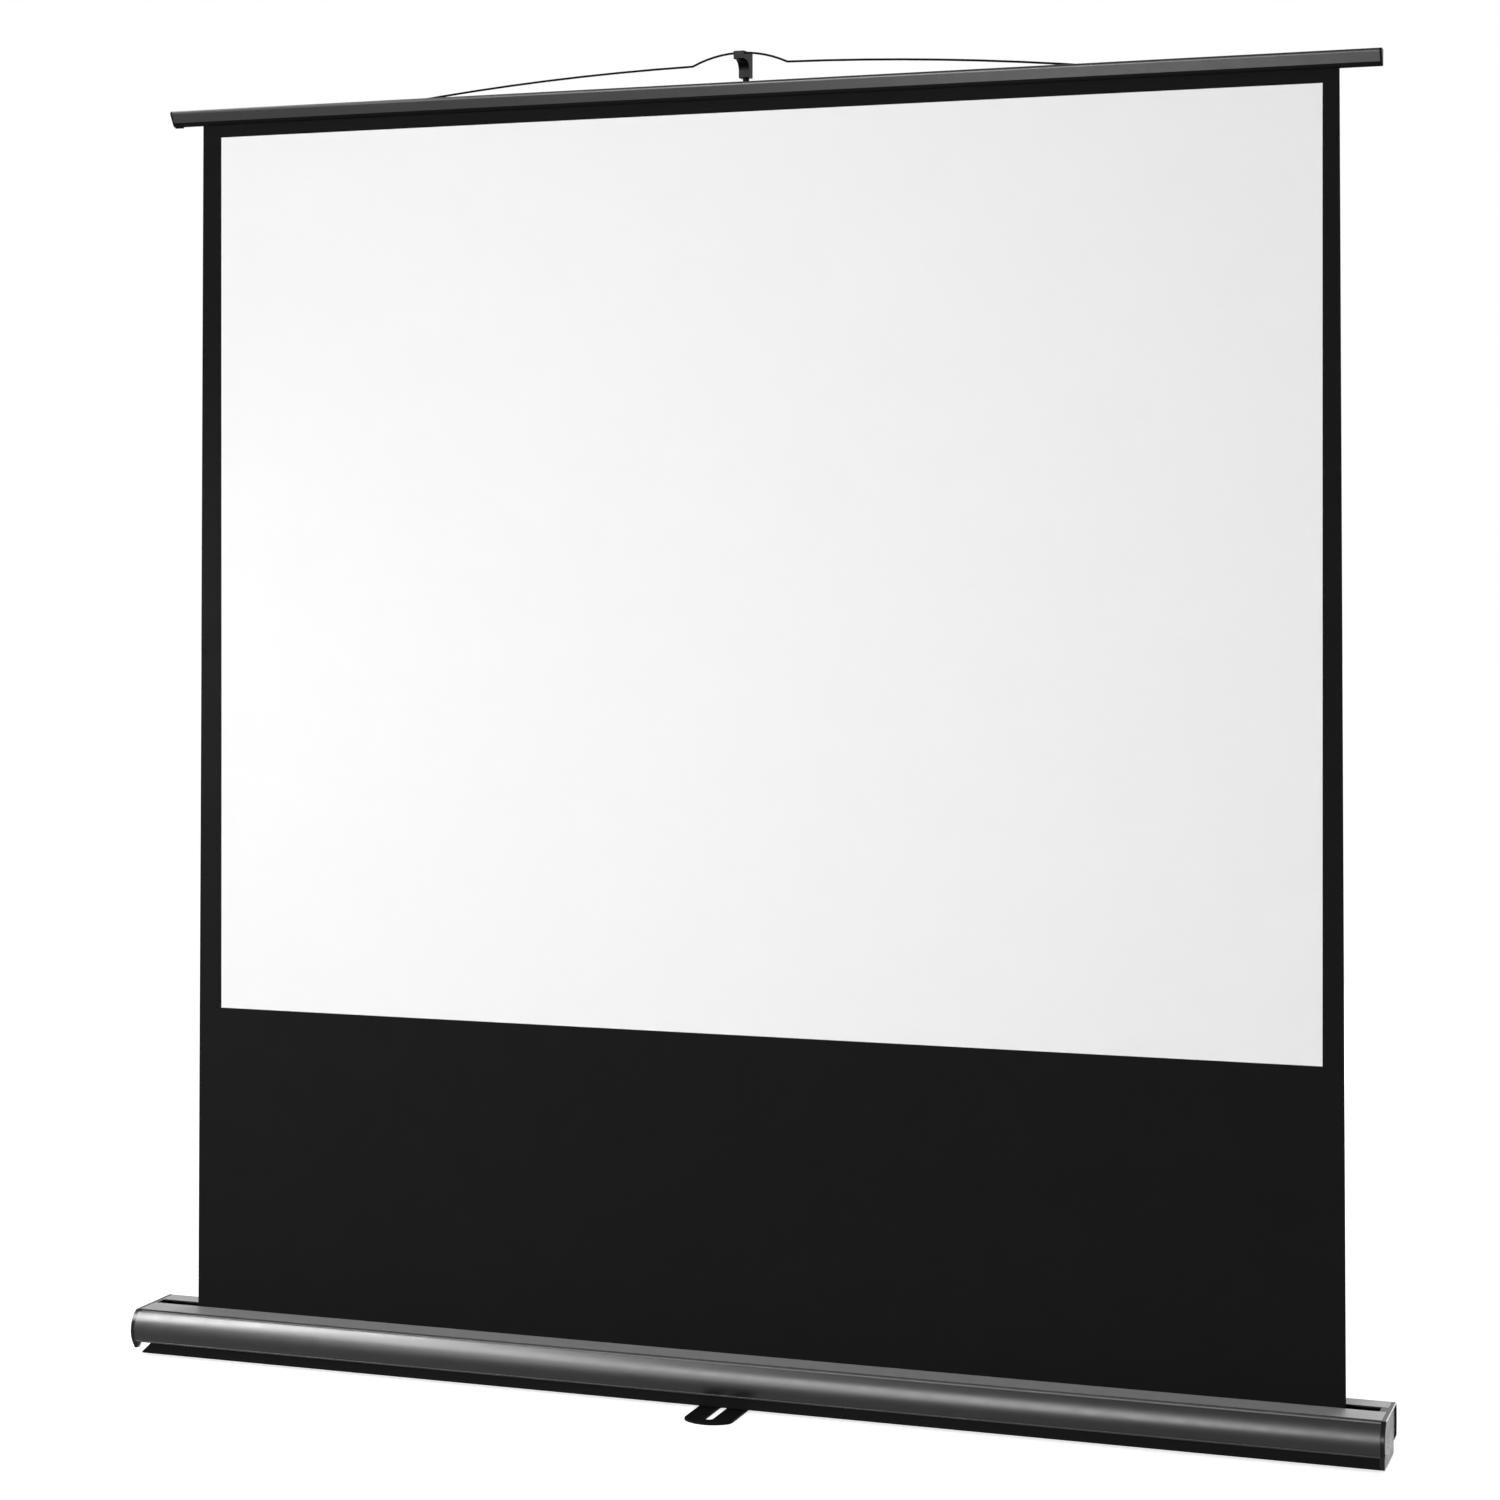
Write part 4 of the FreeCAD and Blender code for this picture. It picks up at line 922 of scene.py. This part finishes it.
@dataclass
class ScreenCloth:
    """The picture cloth and its white coating.

    Attributes:
        ripple: height of the faint waves left in the stretched cloth.
        calm: how quickly the waves die out towards the held edges.
        waves: height, turns along X and along Z in radians per metre, and start of each wave.
        coat_sink: how far the coating bites into the cloth.
        columns: cells across the cloth.
        rows: cells up the cloth.
    """

    ripple: float = 0.5 * MM
    calm: float = 4.0
    waves: tuple[tuple[float, float, float, float], ...] = ((1.0, 7.3, 1.1, 0.0), (0.6, 12.1, -2.3, 0.8))
    coat_sink: float = 0.04 * MM
    columns: int = 84
    rows: int = 90
    low: Vector = field(default_factory=lambda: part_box("screen_cloth")[0])
    high: Vector = field(default_factory=lambda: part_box("screen_cloth")[1])

    def wave(self, x: float, z: float) -> float:
        """How far the cloth leaves its plane at an X and Z: nothing at its held edges."""
        share = (z - self.low.z) / (self.high.z - self.low.z)
        held = math.sin(math.pi * share) ** self.calm
        swell = sum(tall * math.sin(a * x + b * z + start) for tall, a, b, start in self.waves)
        return self.ripple * held * swell / sum(wave[0] for wave in self.waves)

    def build(self) -> None:
        """Makes the cloth and its coating."""
        thick = self.high.y - self.low.y
        height = self.high.z - self.low.z
        corners = [v.co for v in frame["nodes"]["screen_cloth"].data.vertices]
        head = sorted(v.x for v in corners if v.z > (self.low.z + self.high.z) / 2)

        def cloth_row(z: float) -> list[float]:
            """X of each place across the cloth at a height, between its leaning sides."""
            share = (z - self.low.z) / height
            left = self.low.x + share * (head[0] - self.low.x)
            return steps(left, self.high.x + share * (head[-1] - self.high.x), self.columns)

        def cloth_face(x: float, z: float) -> float:
            """Y of the cloth's front."""
            return self.low.y + self.wave(x, z)

        cloth_mesh = slab(steps(self.low.z, self.high.z, self.rows), cloth_row, cloth_face, thick)
        cloth = make_piece("screen_fabric", cloth_mesh, BLACK_CLOTH)
        coat_low, coat_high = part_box("image_surface")
        coat_thick = coat_high.y - coat_low.y

        def coat_row(z: float) -> list[float]:
            """X of each place across the coating, the same at every height."""
            return steps(coat_low.x, coat_high.x, self.columns)

        def coat_face(x: float, z: float) -> float:
            """Y of the coating's front, which follows the cloth's waves."""
            return coat_low.y + self.wave(x, z)

        coat_up = steps(coat_low.z, coat_high.z, self.rows)
        coat_mesh = slab(coat_up, coat_row, coat_face, coat_thick + self.coat_sink)
        coat = make_piece("picture_coating", coat_mesh, WHITE_CLOTH)
        dressed = ((cloth, "screen_cloth", "black_cloth"), (coat, "image_surface", "white_cloth"))
        for piece, node, slot in dressed:
            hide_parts(node)
            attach(piece, "case")
            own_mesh(piece)


# Studio

WHITE = (1.0, 1.0, 1.0, 1.0)


class LampRole(Enum):
    """What a lamp lights."""

    WHOLE = "lights every surface"
    CARD = "shows only in gloss, as a reflector card does"


@dataclass(frozen=True)
class SoftBox:
    """One rectangular lamp.

    Attributes:
        name: name of the lamp.
        at: its place.
        towards: the point that it faces.
        size: its width and height.
        radiance: brightness of its face.
        role: what it lights.
    """

    name: str
    at: Point
    towards: Point
    size: tuple[float, float]
    radiance: float
    role: LampRole = LampRole.WHOLE


@dataclass
class Studio:
    """Floor, world, lamps and camera.

    Attributes:
        camera_at: the camera's place.
        camera_yaw: its turn about Z, in degrees.
        focal: focal length in millimetres.
        sensor: width of the sensor in millimetres.
        far: distance up to which the camera sees.
        rise: vertical shift of the frame, as a share of its width.
        floor_half: half the floor's side.
        floor_colour: linear colour of the floor.
        floor_roughness: its roughness.
        floor_specular: its specular level.
        ambient: strength of the world's light.
        floor_glow: what the floor adds to its own light where it is seen.
        lamps: the soft boxes.
    """

    camera_at: Point = (1.4407, -4.0339, 1.1616)
    camera_yaw: float = 19.206
    focal: float = 74.88
    sensor: float = 36.0
    far: float = 200.0
    rise: float = -0.1293
    floor_half: float = 30.0
    floor_colour: Colour = (0.9, 0.9, 0.9)
    floor_roughness: float = 0.9
    floor_specular: float = 0.1
    ambient: float = 0.40
    floor_glow: float = 0.70
    lamps: tuple[SoftBox, ...] = (
        SoftBox("key_soft_box", (-1.05, -3.75, 1.25), (-0.1, 0.0, 0.8), (2.2, 2.0), 6.25),
        SoftBox("left_card", (-1.34, -0.48, 1.02), (-0.8, 0.0, 0.05), (0.34, 1.0), 60.0, LampRole.CARD),
        SoftBox("middle_card", (-0.90, -0.85, 0.98), (-0.55, -0.30, 0.0), (0.34, 0.6), 32.0, LampRole.CARD),
        SoftBox("high_card", (-1.28, -3.3, 2.4), (0.0, 0.0, 0.05), (0.8, 0.9), 40.0, LampRole.CARD),
        SoftBox("slope_card", (-0.65, -3.7, 1.75), (0.35, 0.0, 0.05), (0.7, 0.9), 24.0, LampRole.CARD),
        SoftBox("right_card", (-0.1, -4.1, 1.0), (0.5, 0.0, 0.05), (1.0, 1.3), 22.0, LampRole.CARD),
        SoftBox("top_card", (-1.5, -0.35, 2.9), (-0.8, 0.0, 1.8), (1.4, 0.8), 8.0, LampRole.CARD),
        SoftBox("floor_card", (0.05, -1.5, 0.02), (0.05, -1.5, 1.0), (1.05, 1.2), 5.2, LampRole.CARD),
        SoftBox("rear_soft_box", (1.6, 3.9, 1.1), (0.0, 0.0, 0.8), (2.2, 1.6), 7.0),
    )

    def camera(self) -> None:
        """Sets the camera at the photograph's viewpoint."""
        data = bpy.data.cameras.new("camera")
        data.lens = self.focal
        data.sensor_width = self.sensor
        data.shift_y = self.rise
        data.clip_end = self.far
        made = bpy.data.objects.new("camera", data)
        made.location = self.camera_at
        made.rotation_euler = (math.radians(90.0), 0.0, math.radians(self.camera_yaw))
        bpy.context.scene.collection.objects.link(made)
        bpy.context.scene.camera = made

    def floor(self) -> None:
        """Lays a pale floor that looks white to the camera and keeps the shadow."""
        half = self.floor_half
        mesh = bpy.data.meshes.new("floor")
        corners = [(-half, -half, 0), (half, -half, 0), (half, half, 0), (-half, half, 0)]
        mesh.from_pydata(corners, [], [(0, 1, 2, 3)])
        made = bpy.data.objects.new("floor", mesh)
        bpy.context.scene.collection.objects.link(made)
        pale = bpy.data.materials.new("pale_floor")
        pale.use_nodes = True
        sketch = Sketch(pale.node_tree)
        shader = pale.node_tree.nodes["Principled BSDF"]
        shader.inputs["Base Color"].default_value = (*self.floor_colour, 1.0)
        shader.inputs["Roughness"].default_value = self.floor_roughness
        shader.inputs["Specular IOR Level"].default_value = self.floor_specular
        shader.inputs["Emission Color"].default_value = WHITE
        glow = sketch.spread(self.shown(sketch), 0.0, self.floor_glow)
        sketch.feed(shader.inputs["Emission Strength"], glow)
        mesh.materials.append(pale)

    def world(self) -> None:
        """Makes a soft even world that the camera sees as white."""
        world = bpy.data.worlds.new("studio")
        bpy.context.scene.world = world
        world.use_nodes = True
        sketch = Sketch(world.node_tree)
        sky = world.node_tree.nodes["Background"]
        sky.inputs["Color"].default_value = WHITE
        sketch.feed(sky.inputs["Strength"], sketch.spread(self.shown(sketch), self.ambient, 1.0))

    def shown(self, sketch: Sketch) -> Socket:
        """A value of 1 for the camera's rays and for reflections, and 0 for the light itself."""
        path = sketch.add("ShaderNodeLightPath").outputs
        seen = sketch.math("MAXIMUM", path["Is Camera Ray"], path["Is Glossy Ray"])
        return sketch.math("MAXIMUM", seen, path["Is Transmission Ray"])

    def lamp(self, box: SoftBox) -> None:
        """Hangs one soft box."""
        data = bpy.data.lights.new(box.name, "AREA")
        data.shape = "RECTANGLE"
        data.size, data.size_y = box.size
        data.energy = box.radiance * math.pi * box.size[0] * box.size[1]
        made = bpy.data.objects.new(box.name, data)
        made.location = box.at
        way = Vector(box.towards) - Vector(box.at)
        made.rotation_euler = way.to_track_quat("-Z", "Y").to_euler()
        made.visible_diffuse = box.role is LampRole.WHOLE
        made.visible_camera = False
        bpy.context.scene.collection.objects.link(made)

    def build(self) -> None:
        """Makes the whole studio."""
        self.camera()
        self.floor()
        self.world()
        for box in self.lamps:
            self.lamp(box)
        bpy.context.scene.view_settings.view_transform = "Standard"


def main() -> None:
    """Builds the pieces in order and reports them."""
    logging.basicConfig(level=logging.INFO, format="%(name)s: %(message)s")
    Studio().build()
    dress_frame()
    TopSlat().build()
    ScreenCloth().build()
    SpringRoller().build()
    Fasteners().build()
    HandleGrip().build()


if __name__ == "__main__":
    main()
